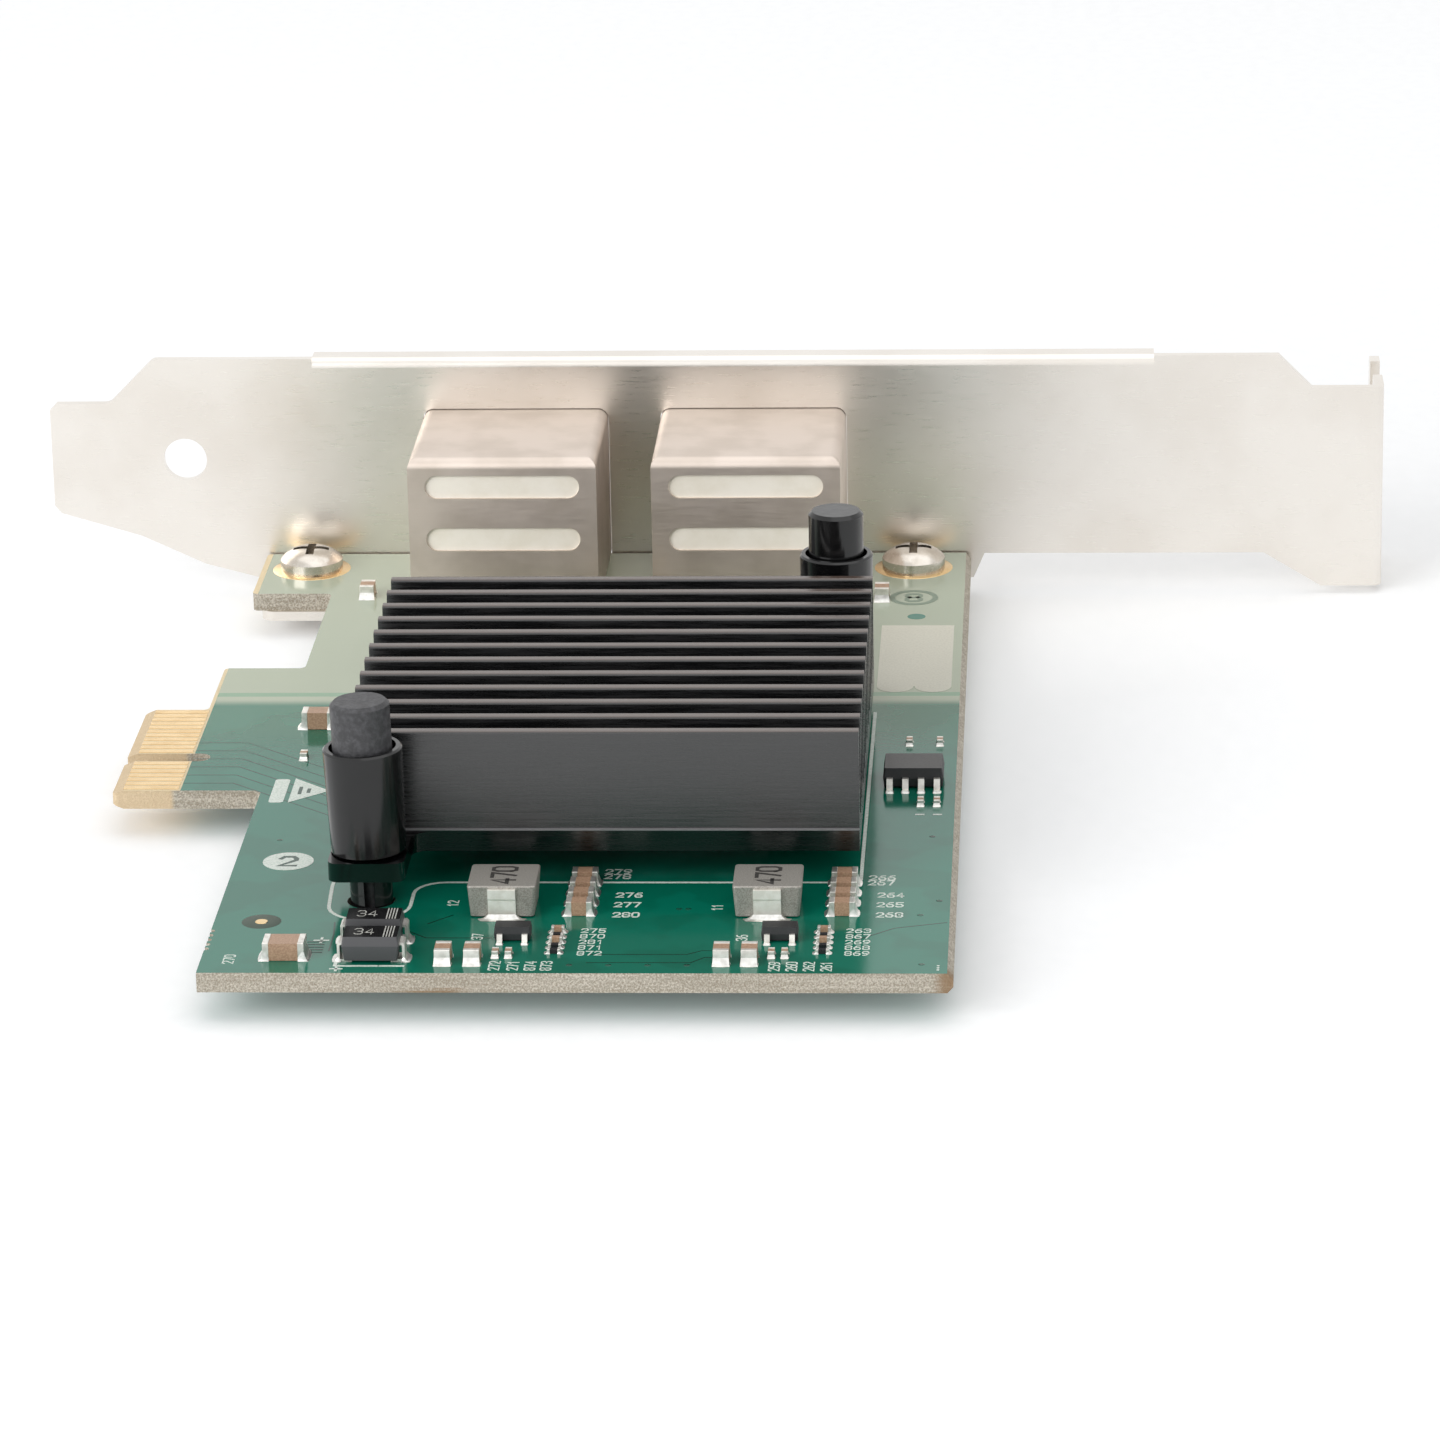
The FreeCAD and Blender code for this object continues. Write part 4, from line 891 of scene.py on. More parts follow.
# silica-filled epoxy, transfer moulded: charcoal, satin on top and matt at the sides, which are painted a
# lighter grey as painted light from the front
MOULD = Moulded("epoxy_moulding_compound", "#171718", "#232324", 0.36, 1.55, grain_mm=0.12, cloud_mm=2.0,
                painted_light_side_colour="#2B2B2D")
# the same epoxy from a polished tool: a glossy black top over drafted sides painted grey, painted light from
# the front
DIODE_MOULD = Moulded("polished_moulding_compound", "#101011", "#19191A", 0.2, 1.55, depth_mm=0.003,
                      cloud_mm=2.0, painted_light_side_colour="#4A4A4C")
# black polyester injection moulding: satin
PBT = Moulded("black_pbt", "#121213", "#1B1B1C", 0.38, 1.57)
# undyed polyester injection moulding: warm white, satin
IVORY = Moulded("ivory_pbt", "#FAF4E8", "#F1EADB", 0.42, 1.57, grain_mm=0.3, depth_mm=0.003)
# soft silicone filled with ceramic powder: grey and rubbery
SILICONE = Moulded("thermal_silicone", "#8B9299", "#7C838A", 0.7, 1.42, grain_mm=0.1, depth_mm=0.01,
                   cloud_mm=2.0)
# iron powder pressed with resin and tumbled: grey, granular, with a slight glint
POWDER = Fired("pressed_iron_powder", "#B3AFA8", "#8F8B84", 0.42, grain_mm=0.1, depth_mm=0.006,
               metallic=0.35)
# sintered capacitor ceramic, sawn and tumbled: tan, smooth and waxy
CERAMIC = Fired("barium_titanate_ceramic", "#B8987E", "#A07E66", 0.42, grain_mm=0.15, depth_mm=0.003)
# glass glaze over a resistor's film: black and shiny
GLAZE = Fired("glazed_resistor_film", "#1D1D20", "#29292C", 0.3, depth_mm=0.002)
# dark alumina, pressed and fired: dull brown
ALUMINA = Fired("dark_alumina", "#4B423B", "#3D352F", 0.5, grain_mm=0.1)
# the lamps' lenses are lightly tinted acrylic: they look coloured even when unlit
GREEN_LENS = Lens("green_lens", "#86C05C")
AMBER_LENS = Lens("amber_lens", "#E0A23C")


# ------------------------------------------------------------------ plain numerals
NUMERAL_STROKES: dict[str, tuple[tuple[tuple[float, float], ...], ...]] = {
    "0": (((0, .2), (.2, 0), (.8, 0), (1, .2), (1, .8), (.8, 1), (.2, 1), (0, .8), (0, .2)),),
    "1": (((.2, .75), (.55, 1), (.55, 0)),),
    "2": (((0, .8), (.2, 1), (.8, 1), (1, .8), (1, .6), (0, 0), (1, 0)),),
    "3": (((0, .85), (.2, 1), (.8, 1), (1, .8), (1, .65), (.8, .52), (.4, .52)),
          ((.8, .52), (1, .38), (1, .2), (.8, 0), (.2, 0), (0, .15))),
    "4": (((.75, 0), (.75, 1), (0, .3), (1, .3)),),
    "5": (((1, 1), (.1, 1), (.05, .55), (.75, .58), (1, .4), (1, .2), (.8, 0), (.2, 0), (0, .15)),),
    "6": (((.9, 1), (.4, .95), (0, .5), (0, .2), (.2, 0), (.8, 0), (1, .2), (1, .35), (.8, .55),
           (.15, .55)),),
    "7": (((0, 1), (1, 1), (.4, 0)),),
    "8": (((.2, .53), (0, .7), (0, .85), (.2, 1), (.8, 1), (1, .85), (1, .7), (.8, .53), (.2, .53),
           (0, .35), (0, .15), (.2, 0), (.8, 0), (1, .15), (1, .35), (.8, .53)),),
    "9": (((.85, .45), (.2, .45), (0, .62), (0, .8), (.2, 1), (.8, 1), (1, .8), (1, .5), (.6, .05),
           (.1, 0)),),
}


@dataclass(frozen=True)
class Numerals:
    """Plain numerals drawn with a round-cornered pen.

    Attributes:
        height: Height of a numeral.
        width: Width of a numeral.
        pen: Line width.
        gap: Space between numerals.
    """

    height: float
    width: float
    pen: float
    gap: float

    def strokes(self, text: str, middle: Sequence[float], turn_deg: float = 0.0) -> list[np.ndarray]:
        """Lays out a number round a point.

        Args:
            text: The digits.
            middle: The number's middle, as x and y.
            turn_deg: How far it is turned, anticlockwise.

        Returns:
            One path for each pen stroke.
        """
        step = self.width + self.gap
        start = -0.5 * (step * len(text) - self.gap)
        turn = math.radians(turn_deg)
        rotation = np.array([[math.cos(turn), math.sin(turn)], [-math.sin(turn), math.cos(turn)]])
        found = []
        for k, digit in enumerate(text):
            for stroke in NUMERAL_STROKES[digit]:
                path = np.array(stroke, float) * (self.width, self.height)
                path += (start + k * step, -0.5 * self.height)
                found.append(path @ rotation + np.array(middle))
        return found


# ------------------------------------------------------------------ the board and its print
@dataclass
class CircuitBoard:
    """The green board: its mask, legend print, tracks, vias, alignment mark and screw lands.

    Attributes:
        nodes: The frame's CAD nodes by name.
        ink_thick: Height of the legend ink.
        frame_width: Width of the line round the heat sink.
        frame_sides: Where that line runs: left, right, front and back.
        pin_loop: Its loop round the front push pin: middle x, middle y and radius.
        disc_spot: Middle of the numbered disc.
        ring_spot: Middle of the numbered ring.
        fiducial_spot: Middle of the round alignment mark.
        screw_spots: Where the bracket's screws stand.
        land_radius: Radius of the gold round a screw.
        hole_radius: Radius of a screw's hole.
        track_gap: Width of the gap beside a track.
        column_pitch: Space from one number to the next in a column.
        small: The numerals beside the smallest parts.
        medium: The numerals beside the larger ones.
        wide: The numerals in the disc and the ring.
    """

    nodes: dict[str, bpy.types.Object]
    ink_thick: float = 0.02
    frame_width: float = 0.28
    frame_sides: tuple[float, float, float, float] = (8.25, 49.25, 19.4, 60.0)
    pin_loop: tuple[float, float, float] = (11.6, 14.3, 3.15)
    disc_spot: tuple[float, float] = (4.15, 24.1)
    ring_spot: tuple[float, float] = (51.8, 91.4)
    fiducial_spot: tuple[float, float] = (3.65, 10.8)
    screw_spots: tuple[tuple[float, float], ...] = ((-2.6, 100.3), (51.6, 100.3))
    land_radius: float = 3.5
    hole_radius: float = 1.65
    track_gap: float = 0.13
    column_pitch: float = 1.19
    small: Numerals = field(default_factory=lambda: Numerals(0.78, 0.46, 0.11, 0.2))
    medium: Numerals = field(default_factory=lambda: Numerals(0.92, 0.5, 0.15, 0.22))
    wide: Numerals = field(default_factory=lambda: Numerals(2.0, 1.2, 0.4, 0.3))

    def build(self) -> None:
        """Dresses the board and adds everything printed, etched or plated on it."""
        dress(self.nodes, MASK, "circuit_board")
        dress(self.nodes, GOLD, "edge_contacts")
        self.print_lines()
        self.print_numbers()
        self.print_marks()
        self.etch_tracks()
        self.plate_vias()
        self.plate_lands()

    def stroke(self, path: Sequence[Sequence[float]], width: float, closed: bool = False) -> Surface:
        """One printed line on the top face."""
        return strip(path, width, 0.0, self.ink_thick, closed)

    def print_lines(self) -> None:
        """The line round the heat sink, with its loop round the front push pin, and the diodes' box."""
        left, right, front, back = self.frame_sides
        loop_x, loop_y, loop_r = self.pin_loop
        bend_r, corner_r = 2.4, 0.6
        outline = np.concatenate([
            [(left, back), (left, loop_y + 4.0)],
            arc((loop_x, loop_y), loop_r, 180, 360, 15),
            arc((loop_x + loop_r + bend_r, front - bend_r), bend_r, 180, 90, 7),
            arc((right - corner_r, front + corner_r), corner_r, -90, 0, 4),
            [(right, back)],
        ])
        surfaces = [self.stroke(outline, self.frame_width)]
        diode_box = ([(10.6, 1.45), (13.4, 1.45)], [(13.75, 1.45), (15.4, 1.45)], [(10.3, 1.5), (10.3, 2.1)])
        surfaces += [self.stroke(path, self.frame_width) for path in diode_box]
        make_piece("legend_lines", joined(surfaces), LEGEND)

    def print_numbers(self) -> None:
        """Plain position numbers beside the small parts."""
        rows = [(31.48, 16.6, "276"), (31.47, 14.5, "277"), (31.5, 12.3, "280"),
                (30.3, 21.8, "279"), (30.3, 20.7, "278"),
                (51.65, 16.6, "264"), (51.64, 14.5, "265"), (51.65, 12.3, "268"),
                (50.9, 20.4, "266"), (50.85, 19.3, "267")]
        surfaces = [self.stroke(path, self.medium.pen)
                    for x, y, text in rows for path in self.medium.strokes(text, (x, y))]
        columns = ((29.25, ("275", "870", "281", "871", "872")), (49.4, ("263", "867", "269", "868", "869")))
        for x, column in columns:
            for k, text in enumerate(column):
                surfaces += [self.stroke(path, self.small.pen)
                             for path in self.small.strokes(text, (x, 8.9 - self.column_pitch * k))]
        turned = [(22.3, 1.5, "272"), (23.7, 1.5, "271"), (25.0, 1.5, "874"), (26.2, 1.5, "873"),
                  (43.3, 1.4, "259"), (44.6, 1.4, "260"), (45.9, 1.4, "262"), (47.2, 1.4, "261"),
                  (18.0, 14.75, "12"), (38.4, 13.9, "11"), (20.5, 7.6, "37"), (40.6, 7.4, "36"),
                  (2.15, 2.8, "270")]
        surfaces += [self.stroke(path, self.small.pen)
                     for x, y, text in turned for path in self.small.strokes(text, (x, y), 90)]
        make_piece("legend_numbers", joined(surfaces), LEGEND)

    def print_marks(self) -> None:
        """Plus signs, ticks, a bar and a filled triangle, a numbered disc and small dashes."""
        surfaces = []
        for x, y, reach in ((8.7, 6.8, 0.5), (10.45, 0.85, 0.4)):
            surfaces.append(self.stroke([(x - reach, y), (x + reach, y)], 0.2))
            surfaces.append(self.stroke([(x, y - reach), (x, y + reach)], 0.2))
        bar = rounded_box(0.9, 2.1, 37.8, 43.4, 0.3)
        triangle = np.array([(2.5, 37.8), (5.6, 40.6), (2.5, 43.6)])
        disc = arc(self.disc_spot, 2.0, 0, 350, 36)
        dots = [arc((55.55, 0.75 + 0.42 * k), 0.11, 0, 330, 12) for k in range(3)]
        surfaces += [plate(outline, 0.0, self.ink_thick) for outline in [bar, triangle, disc] + dots]
        surfaces += [self.stroke([(x - 0.22, 34.9), (x + 0.22, 34.9)], 0.3) for x in (53.5, 54.9)]
        make_piece("legend_marks", joined(surfaces), LEGEND)
        # the label's field, with two lobes at its front
        lobe_r, lobe_y = 1.55, 66.9
        lobes = [arc((x, lobe_y), lobe_r, 180, 360, 13) for x in (50.75, 53.95)]
        outline = np.concatenate(lobes + [[(55.5, 83.5), (49.2, 83.5)]])
        make_piece("label_field", plate(outline, 0.0, self.ink_thick), FIELD)
        # a ring round a single digit
        ring = [self.stroke(arc(self.ring_spot, 1.9, 0, 352, 45), 0.5, closed=True)]
        ring += [self.stroke(path, self.wide.pen) for path in self.wide.strokes("8", self.ring_spot)]
        make_piece("faint_ring", joined(ring), FAINT)
        # dark marks left open in the disc and the triangle, and two rows of dashes on the mask
        low, high = self.ink_thick, self.ink_thick + 0.004
        dark = [strip(path, self.wide.pen, low, high) for path in self.wide.strokes("2", self.disc_spot)]
        dark += [strip([(x, front), (x, back)], 0.3, low, high)
                 for x, front, back in ((3.2, 39.9, 41.4), (3.9, 40.2, 41.0))]
        dark += [strip([(x, y), (x + 0.5, y)], 0.16, 0.0, self.ink_thick)
                 for x in (7.75, 8.45) for y in (4.3, 4.85, 5.4, 5.95, 6.5)]
        make_piece("reversed_marks", joined(dark), GAP_INK)
        # a round spot of copper under the mask
        make_piece("teal_spot", plate(arc((52.15, 86.0), 0.8, 0, 350, 24), 0.0, 0.008), TEAL_INK)

    def etch_tracks(self) -> None:
        """Gaps in the copper beside the tracks, which show as thin dark lines under the ink."""
        paths = [
            [(29.2, 3.9), (36.6, 3.9), (37.7, 4.7), (38.6, 4.7)],
            [(29.2, 2.2), (37.0, 2.2), (38.0, 3.3), (38.8, 3.3)],
            [(14.9, 9.0), (16.6, 7.35), (21.6, 7.35)],
            [(49.3, 7.0), (52.1, 9.5), (56.0, 10.7)],
            [(9.3, 10.6), (9.5, 8.0), (9.5, 4.6)],
            [(9.9, 10.6), (10.05, 7.7)],
            [(16.5, 10.4), (18.2, 12.2)],
        ]
        paths += [[(-6.5, 42.5 + 2.0 * k), (-2.5, 42.5 + 2.0 * k), (6.5, 34.5 + 2.0 * k)] for k in range(6)]
        surfaces = [strip(path, self.track_gap, 0.0, 0.006) for path in paths]
        make_piece("track_gaps", joined(surfaces), GAP_INK)

    def plate_vias(self) -> None:
        """Plated holes filled over by the mask: a low ring with a dimple.

        Formula: a profile of (radius, height) from a raised rim down to a shallow dimple, turned
        about each hole's axis.
        """
        spots = [(55.4, 15.4), (54.0, 12.3), (35.5, 13.6), (36.2, 13.6), (54.3, 1.9), (54.6, 29.8),
                 (53.4, 47.9), (2.9, 29.0)]
        spots += [(27.9 + 2.95 * k, 1.7) for k in range(4)]
        profile = [(0.0, 0.012), (0.07, 0.014), (0.12, 0.025), (0.19, 0.025), (0.25, 0.0), (0.0, 0.0)]
        surfaces = [spun(profile, spot, 14) for spot in spots]
        make_piece("tented_vias", joined(surfaces), VIA_INK)

    def plate_lands(self) -> None:
        """Gold rings round the bracket screws, and the round alignment mark in its bare ring."""
        ring = [(self.hole_radius + 0.02, 0.0), (self.hole_radius + 0.02, 0.03),
                (self.land_radius - 0.05, 0.03), (self.land_radius, 0.0)]
        surfaces = [spun(ring, spot, 48) for spot in self.screw_spots]
        surfaces.append(spun([(0.0, 0.0), (0.0, 0.035), (0.47, 0.035), (0.5, 0.0)], self.fiducial_spot, 24))
        make_piece("plated_lands", joined(surfaces), GOLD)
        opening = [(0.52, 0.0), (0.52, 0.01), (1.5, 0.01), (1.52, 0.0)]
        make_piece("alignment_ring", spun(opening, self.fiducial_spot, 40), BARE_RING)


# ------------------------------------------------------------------ solder
@dataclass
class SolderJoints:
    """Solder fillets at every surface-mounted end and lead, and cones under the board.

    Attributes:
        nodes: The frame's CAD nodes by name.
        rows: Rings in a fillet, from its foot to its top.
        dish: How far a fillet's front is hollowed, as a share of its reach.
        tail: Height of a fillet's two ends, as a share of its own.
        sink_in: How far a fillet runs into the part, so that no gap shows.
        lift: How far a fillet's foot stands above the board.
        pin_rows: Where the jacks' two rows of pins come through.
        leg_y: Where the shields' legs come through.
        leg_out: How far a leg is from its jack's middle.
        flare: How hollow a cone's flank is.
    """

    nodes: dict[str, bpy.types.Object]
    rows: int = 5
    dish: float = 0.07
    tail: float = 0.35
    sink_in: float = 0.02
    lift: float = 0.004
    pin_rows: tuple[float, float] = (93.6, 96.1)
    leg_y: float = 95.0
    leg_out: float = 8.175
    flare: float = 1.8

    def build(self) -> None:
        """Makes the fillets on top and the cones below."""
        make_piece("solder_fillets", joined(self.top_fillets()), SOLDER)
        make_piece("solder_cones", joined(self.cones()), SOLDER)

    def fillet(self, box: np.ndarray, out: np.ndarray, climb: float, reach: float, side: float) -> Surface:
        """A concave skirt of solder round the outer end of a part.

        Formula: two outlines with matching points, one against the part and one on the board,
        run down one side, across the end and up the other side. Between them the plan position
        moves evenly while the height rises with the square, so the skirt is hollow.

        Args:
            box: The end's lowest and highest corners.
            out: Which way the end faces, a unit vector in the board's plane.
            climb: How high the solder reaches on the part.
            reach: How far it spreads in front of the end.
            side: How far it spreads beside it.

        Returns:
            The fillet as a closed solid.
        """
        across = np.array([-out[1], out[0]])
        middle = (box[0, :2] + box[1, :2]) / 2
        size = box[1, :2] - box[0, :2]
        deep, wide = abs(size @ out) / 2, abs(size @ across) / 2
        waist, nose = 0.2 * deep, 0.4 * wide
        against = np.array([(-deep, -wide), (waist, -wide), (deep, -wide), (deep, -wide), (deep, -nose)])
        spread = np.array([(-deep, -wide - side), (waist, -wide - side), (deep, -wide - side),
                           (deep + 0.8 * reach, -wide - 0.7 * side), (deep + reach, -nose)])
        inner, outer = (np.concatenate([half, half[::-1] * (1, -1)]) for half in (against, spread))
        share = np.linspace(0, 1, self.rows)[:, None, None]
        flat = outer + (inner - outer) * share
        flat[1:-1, 4:6, 0] -= self.dish * reach
        height = climb * share[:, :, 0] ** 2 * np.ones(len(inner))
        height[:, [0, -1]] *= self.tail
        flat = np.concatenate([flat, inner[None] - self.sink_in * np.sign(inner)[None]])
        height = np.concatenate([height + self.lift, np.zeros((1, len(inner)))])
        plan = middle + flat[:, :, :1] * out + flat[:, :, 1:] * across
        grid = np.concatenate([plan, height[:, :, None]], axis=2)
        return grid_surface(grid.transpose(1, 0, 2), wrap_columns=True, cap_rows=True)

    def chip_fillets(self, ends: str, bodies: Sequence[str]) -> list[Surface]:
        """Fillets at both ends of every ceramic chip.

        Args:
            ends: The CAD node that holds the tinned ends.
            bodies: The CAD nodes that hold the chips' middles.

        Returns:
            One surface for each end.
        """
        middles = np.concatenate([separate_boxes(self.nodes[name]).mean(axis=1) for name in bodies])
        made = []
        for box in separate_boxes(self.nodes[ends]):
            gap = box.mean(axis=0)[:2] - middles[:, :2]
            away = gap[np.argmin((gap ** 2).sum(axis=1))]
            axis = 0 if abs(away[0]) > abs(away[1]) else 1
            out = np.zeros(2)
            out[axis] = np.sign(away[axis])
            height = box[1, 2]
            made.append(self.fillet(box, out, 0.5 * height, 0.2 + 0.15 * height, 0.06 + 0.04 * height))
        return made

    def lead_fillets(self, leads: str, bodies: Sequence[str], foot: float, climb: float, along: int,
                     reach: float = 0.16, side: float = 0.1) -> list[Surface]:
        """Fillets round the feet of leads.

        Args:
            leads: The CAD node that holds the leads.
            bodies: The CAD nodes of the parts that they belong to.
            foot: Length of lead that lies on its land.
            climb: How high the solder reaches.
            along: 0 where the leads point along X, 1 where they point along Y.
            reach: How far the solder spreads in front of the toe.
            side: How far it spreads beside the foot.

        Returns:
            One surface for each lead.
        """
        middles = np.concatenate([separate_boxes(self.nodes[name]).mean(axis=1) for name in bodies])
        made = []
        for box in separate_boxes(self.nodes[leads]):
            gap = box.mean(axis=0)[:2] - middles[:, :2]
            away = gap[np.argmin((gap ** 2).sum(axis=1))][along]
            out = np.zeros(2)
            out[along] = np.sign(away)
            end = box.copy()
            if away > 0:
                end[0, along] = box[1, along] - foot
            else:
                end[1, along] = box[0, along] + foot
            made.append(self.fillet(end, out, climb, reach, side))
        return made

    def top_fillets(self) -> list[Surface]:
        """Every fillet on the component side.

        Returns:
            One surface for each end or lead.
        """
        made = self.chip_fillets("capacitor_ends", CAPACITORS)
        made += self.chip_fillets("resistor_ends", ("resistors",))
        made += self.lead_fillets("memory_leads", MEMORY, 0.5, 0.2, 1)
        made += self.lead_fillets("regulator_leads", REGULATORS, 0.3, 0.16, 1)
        made += self.lead_fillets("magnetics_leads", MAGNETICS, 0.6, 0.25, 1)
        made += self.lead_fillets("diode_leads", DIODES, 0.28, 0.32, 0, 0.45, 0.2)
        made += self.lead_fillets("inductor_clips", COILS, 0.2, 0.4, 1, 0.5, 0.8)
        return made

    def cones(self) -> list[Surface]:
        """Solder cones round the jacks' pins and shield legs where they come through the board.

        Returns:
            One surface for each pin or leg.
        """
        made = []
        for side in ("left", "right"):
            for box in separate_boxes(self.nodes["jack_contacts_" + side]):
                row = min(self.pin_rows, key=lambda y, front=box[0, 1]: abs(y - front))
                made.append(self.cone((box[:, 0].mean(), row), land=0.8, pin=0.16, drop=0.95))
            low, high = box_on_board("jack_shield_" + side)
            middle = (low[0] + high[0]) / 2
            made += [self.cone((middle + way * self.leg_out, self.leg_y), land=1.5, pin=0.55, drop=0.9)
                     for way in (-1, 1)]
        return made

    def cone(self, spot: Sequence[float], land: float, pin: float, drop: float) -> Surface:
        """One cone below the board.

        Formula: the radius falls from the land's to the pin's with a power of the share of the
        drop that is left, so the flank is hollow, and the profile is turned about the pin.

        Args:
            spot: The pin's middle, as x and y.
            land: Radius at the board.
            pin: Radius where it meets the pin.
            drop: How far down the pin it reaches.

        Returns:
            The cone, closed.
        """
        share = np.linspace(0, 1, 6)
        radius = pin + (land - pin) * (1 - share) ** self.flare
        height = BOARD_UNDER - drop * share
        profile = list(zip(radius, height)) + [(0.02, height[-1]), (0.02, BOARD_UNDER)]
        return spun(profile, spot, 18)


# ------------------------------------------------------------------ heat sink and push pins
@dataclass
class HeatSinkStack:
    """The finned heat sink, what it clamps, and the two push pins that hold it."""

    nodes: dict[str, bpy.types.Object]

    def build(self) -> None:
        """Dresses the sink, the chip, the pad and both pins."""
        dress(self.nodes, ANODISED, "heat_sink")
        dress(self.nodes, MOULD, "controller_chip")
        dress(self.nodes, SILICONE, "thermal_pad")
        dress(self.nodes, SLEEVE, "push_pin_sleeve_front", "push_pin_sleeve_rear")
        dress(self.nodes, PLUNGER, "push_pin_plunger_front")
        dress(self.nodes, SLEEVE, "push_pin_plunger_rear")
        dress(self.nodes, SPRING, "push_pin_spring_front", "push_pin_spring_rear")


# ------------------------------------------------------------------ bracket and jacks
@dataclass
class BracketAndJacks:
    """The steel bracket with its screws, and the two shielded jacks."""

    nodes: dict[str, bpy.types.Object]

    def build(self) -> None:
        """Dresses the bracket, the screws and every part of both jacks."""
        dress(self.nodes, NICKEL_STEEL, "bracket")
        dress(self.nodes, SCREW_STEEL, "bracket_screws")
        for side in ("left", "right"):
            dress(self.nodes, SHIELD, "jack_shield_" + side)
            dress(self.nodes, PBT, "jack_housing_" + side)
            dress(self.nodes, IVORY, "jack_insert_" + side)
            dress(self.nodes, GOLD, "jack_contacts_" + side)
        dress(self.nodes, GREEN_LENS, "link_lamps")
        dress(self.nodes, AMBER_LENS, "activity_lamps")


# ------------------------------------------------------------------ small parts
@dataclass
class SmallParts:
    """Chips, coils, diodes and ceramic parts, with their plain markings.

    Attributes:
        nodes: The frame's CAD nodes by name.
        film: Height of the marking ink over a part's top.
        sink_in: How far it runs into the part.
        coil_digits: The numerals on the coils.
        diode_digits: The numerals on the diodes.
        line_pitch: Space from one of a diode's lines to the next.
    """

    nodes: dict[str, bpy.types.Object]
    film: float = 0.012
    sink_in: float = 0.002
    coil_digits: Numerals = field(default_factory=lambda: Numerals(1.75, 0.95, 0.3, 0.38))
    diode_digits: Numerals = field(default_factory=lambda: Numerals(1.15, 0.6, 0.11, 0.24))
    line_pitch: float = 0.22

    def build(self) -> None:
        """Dresses the parts and marks the coils and the diodes."""
        dress(self.nodes, MOULD, *MEMORY, *REGULATORS, *MAGNETICS)
        dress(self.nodes, DIODE_MOULD, *DIODES)
        dress(self.nodes, TIN, "memory_leads", "regulator_leads", "diode_leads", "magnetics_leads",
              "capacitor_ends", "resistor_ends")
        dress(self.nodes, CLIP_TIN, "inductor_clips")
        dress(self.nodes, POWDER, *COILS)
        dress(self.nodes, CERAMIC, *CAPACITORS)
        dress(self.nodes, GLAZE, "resistors")
        dress(self.nodes, ALUMINA, "crystal_base")
        dress(self.nodes, GOLD, "crystal_lid")
        self.stamp_coils()
        self.mark_diodes()

    def stamp_coils(self) -> None:
        """A plain number stamped on each coil's top."""
        surfaces = []
        for coil in COILS:
            low, high = box_on_board(coil)
            middle = (low + high)[:2] / 2
            surfaces += [strip(path, self.coil_digits.pen, high[2] - self.sink_in, high[2] + self.film)
                         for path in self.coil_digits.strokes("470", middle, 90)]
        make_piece("coil_stamps", joined(surfaces), STAMP)

    def mark_diodes(self) -> None:
        """Polarity lines across one end of each diode, and a plain number beside them."""
        surfaces = []
        for diode in DIODES:
            low, high = box_on_board(diode)
            across = [high[0] - 0.5 - self.line_pitch * k for k in range(4)]
            lines = [[(x, low[1] + 0.22), (x, high[1] - 0.22)] for x in across]
            middle = (low[0] + 0.38 * (high[0] - low[0]), (low[1] + high[1]) / 2)
            surfaces += [strip(path, 0.09, high[2] - self.sink_in, high[2] + self.film)
                         for path in lines + self.diode_digits.strokes("34", middle)]
        make_piece("diode_marks", joined(surfaces), MARKING)


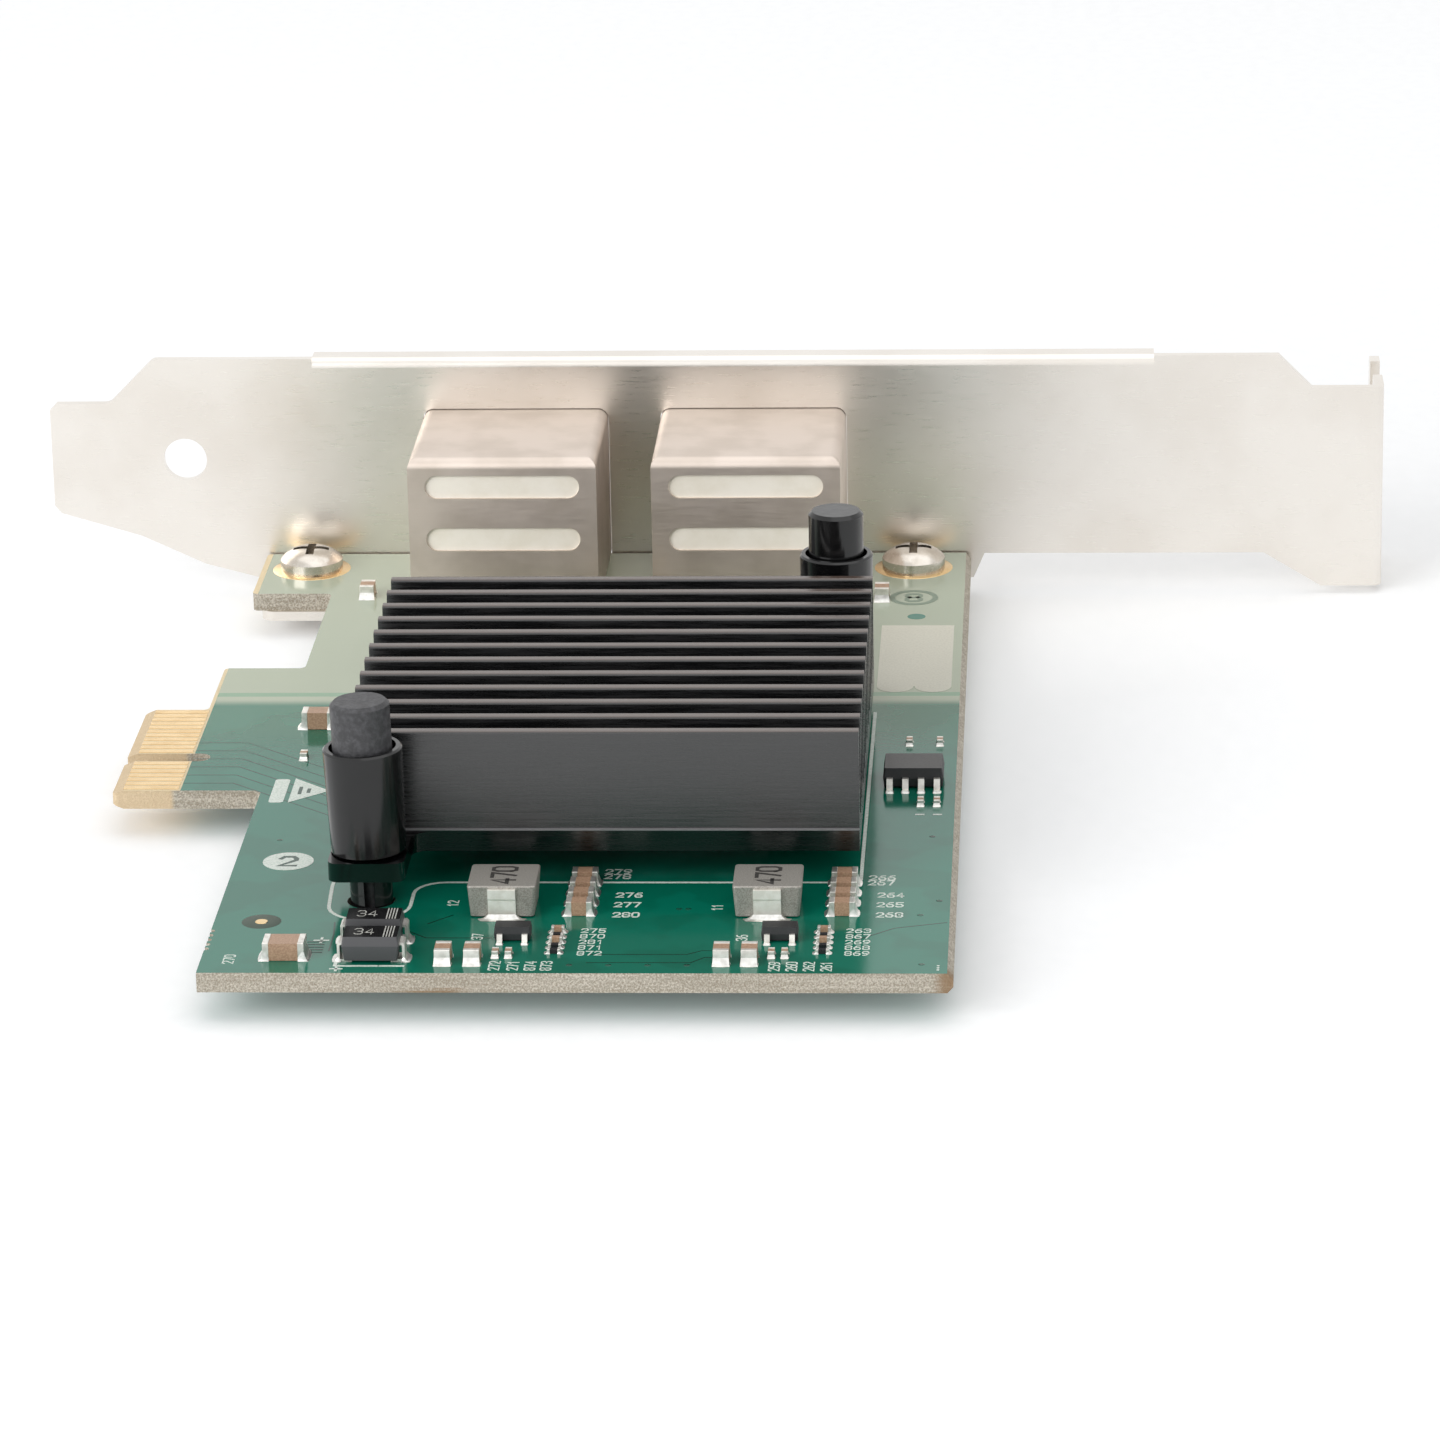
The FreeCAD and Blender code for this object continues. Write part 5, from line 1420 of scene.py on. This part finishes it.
# ------------------------------------------------------------------ camera, light and floor
@dataclass
class Studio:
    """A white floor, soft light all round, and the camera at the card's front.

    Attributes:
        camera_mm: The camera's place in the card's frame.
        yaw_deg: How far it looks to the right of straight ahead.
        pitch_deg: How far it looks down.
        roll_deg: How far it is tipped about its own axis.
        lens_mm: Its focal length.
        sensor_mm: Its sensor's width.
        floor_half: Half the floor's width, in metres.
        sky: Strength of the light from all round.
        seen_sky: Strength of the background where it is seen.
        paper_lift: White that the paper adds where it is seen.
    """

    camera_mm: tuple[float, float, float] = (30.897, -490.80, 172.479)
    yaw_deg: float = -3.283
    pitch_deg: float = 18.918
    roll_deg: float = -1.124
    lens_mm: float = 155.78
    sensor_mm: float = 36.0
    floor_half: float = 3.0
    sky: float = 0.66
    seen_sky: float = 1.0
    paper_lift: float = 0.08

    def build(self) -> None:
        """Sets up everything that isn't the card."""
        self.colour_management()
        self.camera()
        self.world()
        self.floor()
        self.lamps()

    def colour_management(self) -> None:
        """Plain display, so that colours come out as they are written."""
        bpy.context.scene.view_settings.view_transform = "Standard"

    def camera(self) -> None:
        """Places the camera from its position and its three turns."""
        yaw, pitch, roll = (math.radians(a) for a in (self.yaw_deg, self.pitch_deg, self.roll_deg))
        ahead = Vector((math.sin(yaw) * math.cos(pitch), math.cos(yaw) * math.cos(pitch), -math.sin(pitch)))
        level = Vector((math.cos(yaw), -math.sin(yaw), 0.0))
        upward = level.cross(ahead)
        right = level * math.cos(roll) + upward * math.sin(roll)
        up = upward * math.cos(roll) - level * math.sin(roll)
        data = bpy.data.cameras.new("camera")
        data.lens = self.lens_mm
        data.sensor_width = self.sensor_mm
        data.clip_start = 0.01
        data.clip_end = 20.0
        camera = bpy.data.objects.new("camera", data)
        turn = Matrix((right, up, -ahead)).transposed()
        camera.matrix_world = Matrix.Translation(Vector(self.camera_mm) * MM) @ turn.to_4x4()
        bpy.context.scene.collection.objects.link(camera)
        bpy.context.scene.camera = camera

    def world(self) -> None:
        """Even white all round, full strength where it is seen directly, in metal or in glass."""
        world = bpy.data.worlds.new("studio")
        world.use_nodes = True
        tree = world.node_tree
        tree.nodes.clear()
        strength = add(tree, "MapRange", {0: seen_directly(tree), 3: self.sky, 4: self.seen_sky})
        sky = add(tree, "Background", {"Color": (1, 1, 1, 1), "Strength": strength})
        add(tree, "OutputWorld", {"Surface": sky}, out=None)
        bpy.context.scene.world = world

    def floor(self) -> None:
        """A white paper floor: lit paper, lifted to white where it is seen directly."""
        edge = np.linspace(-self.floor_half, self.floor_half, 9)
        x, y = np.meshgrid(edge, edge, indexing="ij")
        surface = grid_surface(np.stack([x, y, np.zeros_like(x)], axis=2))
        mesh = bpy.data.meshes.new("floor")
        mesh.from_pydata(surface.points.tolist(), [], surface.faces)
        floor = bpy.data.objects.new("floor", mesh)
        bpy.context.scene.collection.objects.link(floor)
        mesh.materials.append(self.paper())

    def paper(self) -> bpy.types.Material:
        """White seamless paper, calendered: matt, with soft fibres about 1.5 mm long.

        Returns:
            The floor's material.
        """
        paper = bpy.data.materials.new("white_paper")
        paper.use_nodes = True
        tree = paper.node_tree
        tree.nodes.clear()
        colour = two_tone(tree, speckle(tree, 1.5), 0.3, 0.7, "#F8F9FA", "#FBFCFD")
        lit = add(tree, "BsdfDiffuse", {"Color": colour})
        strength = add(tree, "Math", {0: seen_directly(tree), 1: self.paper_lift}, operation="MULTIPLY")
        lift = add(tree, "Emission", {"Color": (1, 1, 1, 1), "Strength": strength})
        both = add(tree, "AddShader", {0: lit, 1: lift})
        add(tree, "OutputMaterial", {"Surface": both}, out=None)
        return paper

    def lamp(self, name: str, place: tuple[float, float, float], size: tuple[float, float],
             watts: float) -> None:
        """One soft box that faces the card.

        Args:
            name: The lamp's name.
            place: Where it hangs, in metres.
            size: Its width and height, in metres.
            watts: Its power.
        """
        data = bpy.data.lights.new(name, "AREA")
        data.shape = "RECTANGLE"
        data.size = size[0]
        data.size_y = size[1]
        data.energy = watts
        lamp = bpy.data.objects.new(name, data)
        lamp.location = place
        lamp.rotation_euler = (-Vector(place)).to_track_quat("-Z", "Y").to_euler()
        bpy.context.scene.collection.objects.link(lamp)

    def lamps(self) -> None:
        """A wide box overhead, and one low at the front left."""
        self.lamp("overhead_box", place=(0.1, 0.1, 0.9), size=(1.2, 0.9), watts=1.8)
        self.lamp("front_box", place=(-0.95, -0.92, 0.56), size=(1.1, 0.8), watts=12.5)


def main() -> None:
    """Loads the frame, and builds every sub-assembly."""
    logging.basicConfig(level=logging.INFO, format="%(name)s: %(message)s")
    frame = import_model()
    nodes = frame["nodes"]
    CircuitBoard(nodes).build()
    HeatSinkStack(nodes).build()
    BracketAndJacks(nodes).build()
    SmallParts(nodes).build()
    SolderJoints(nodes).build()
    Studio().build()


if __name__ == "__main__":
    main()
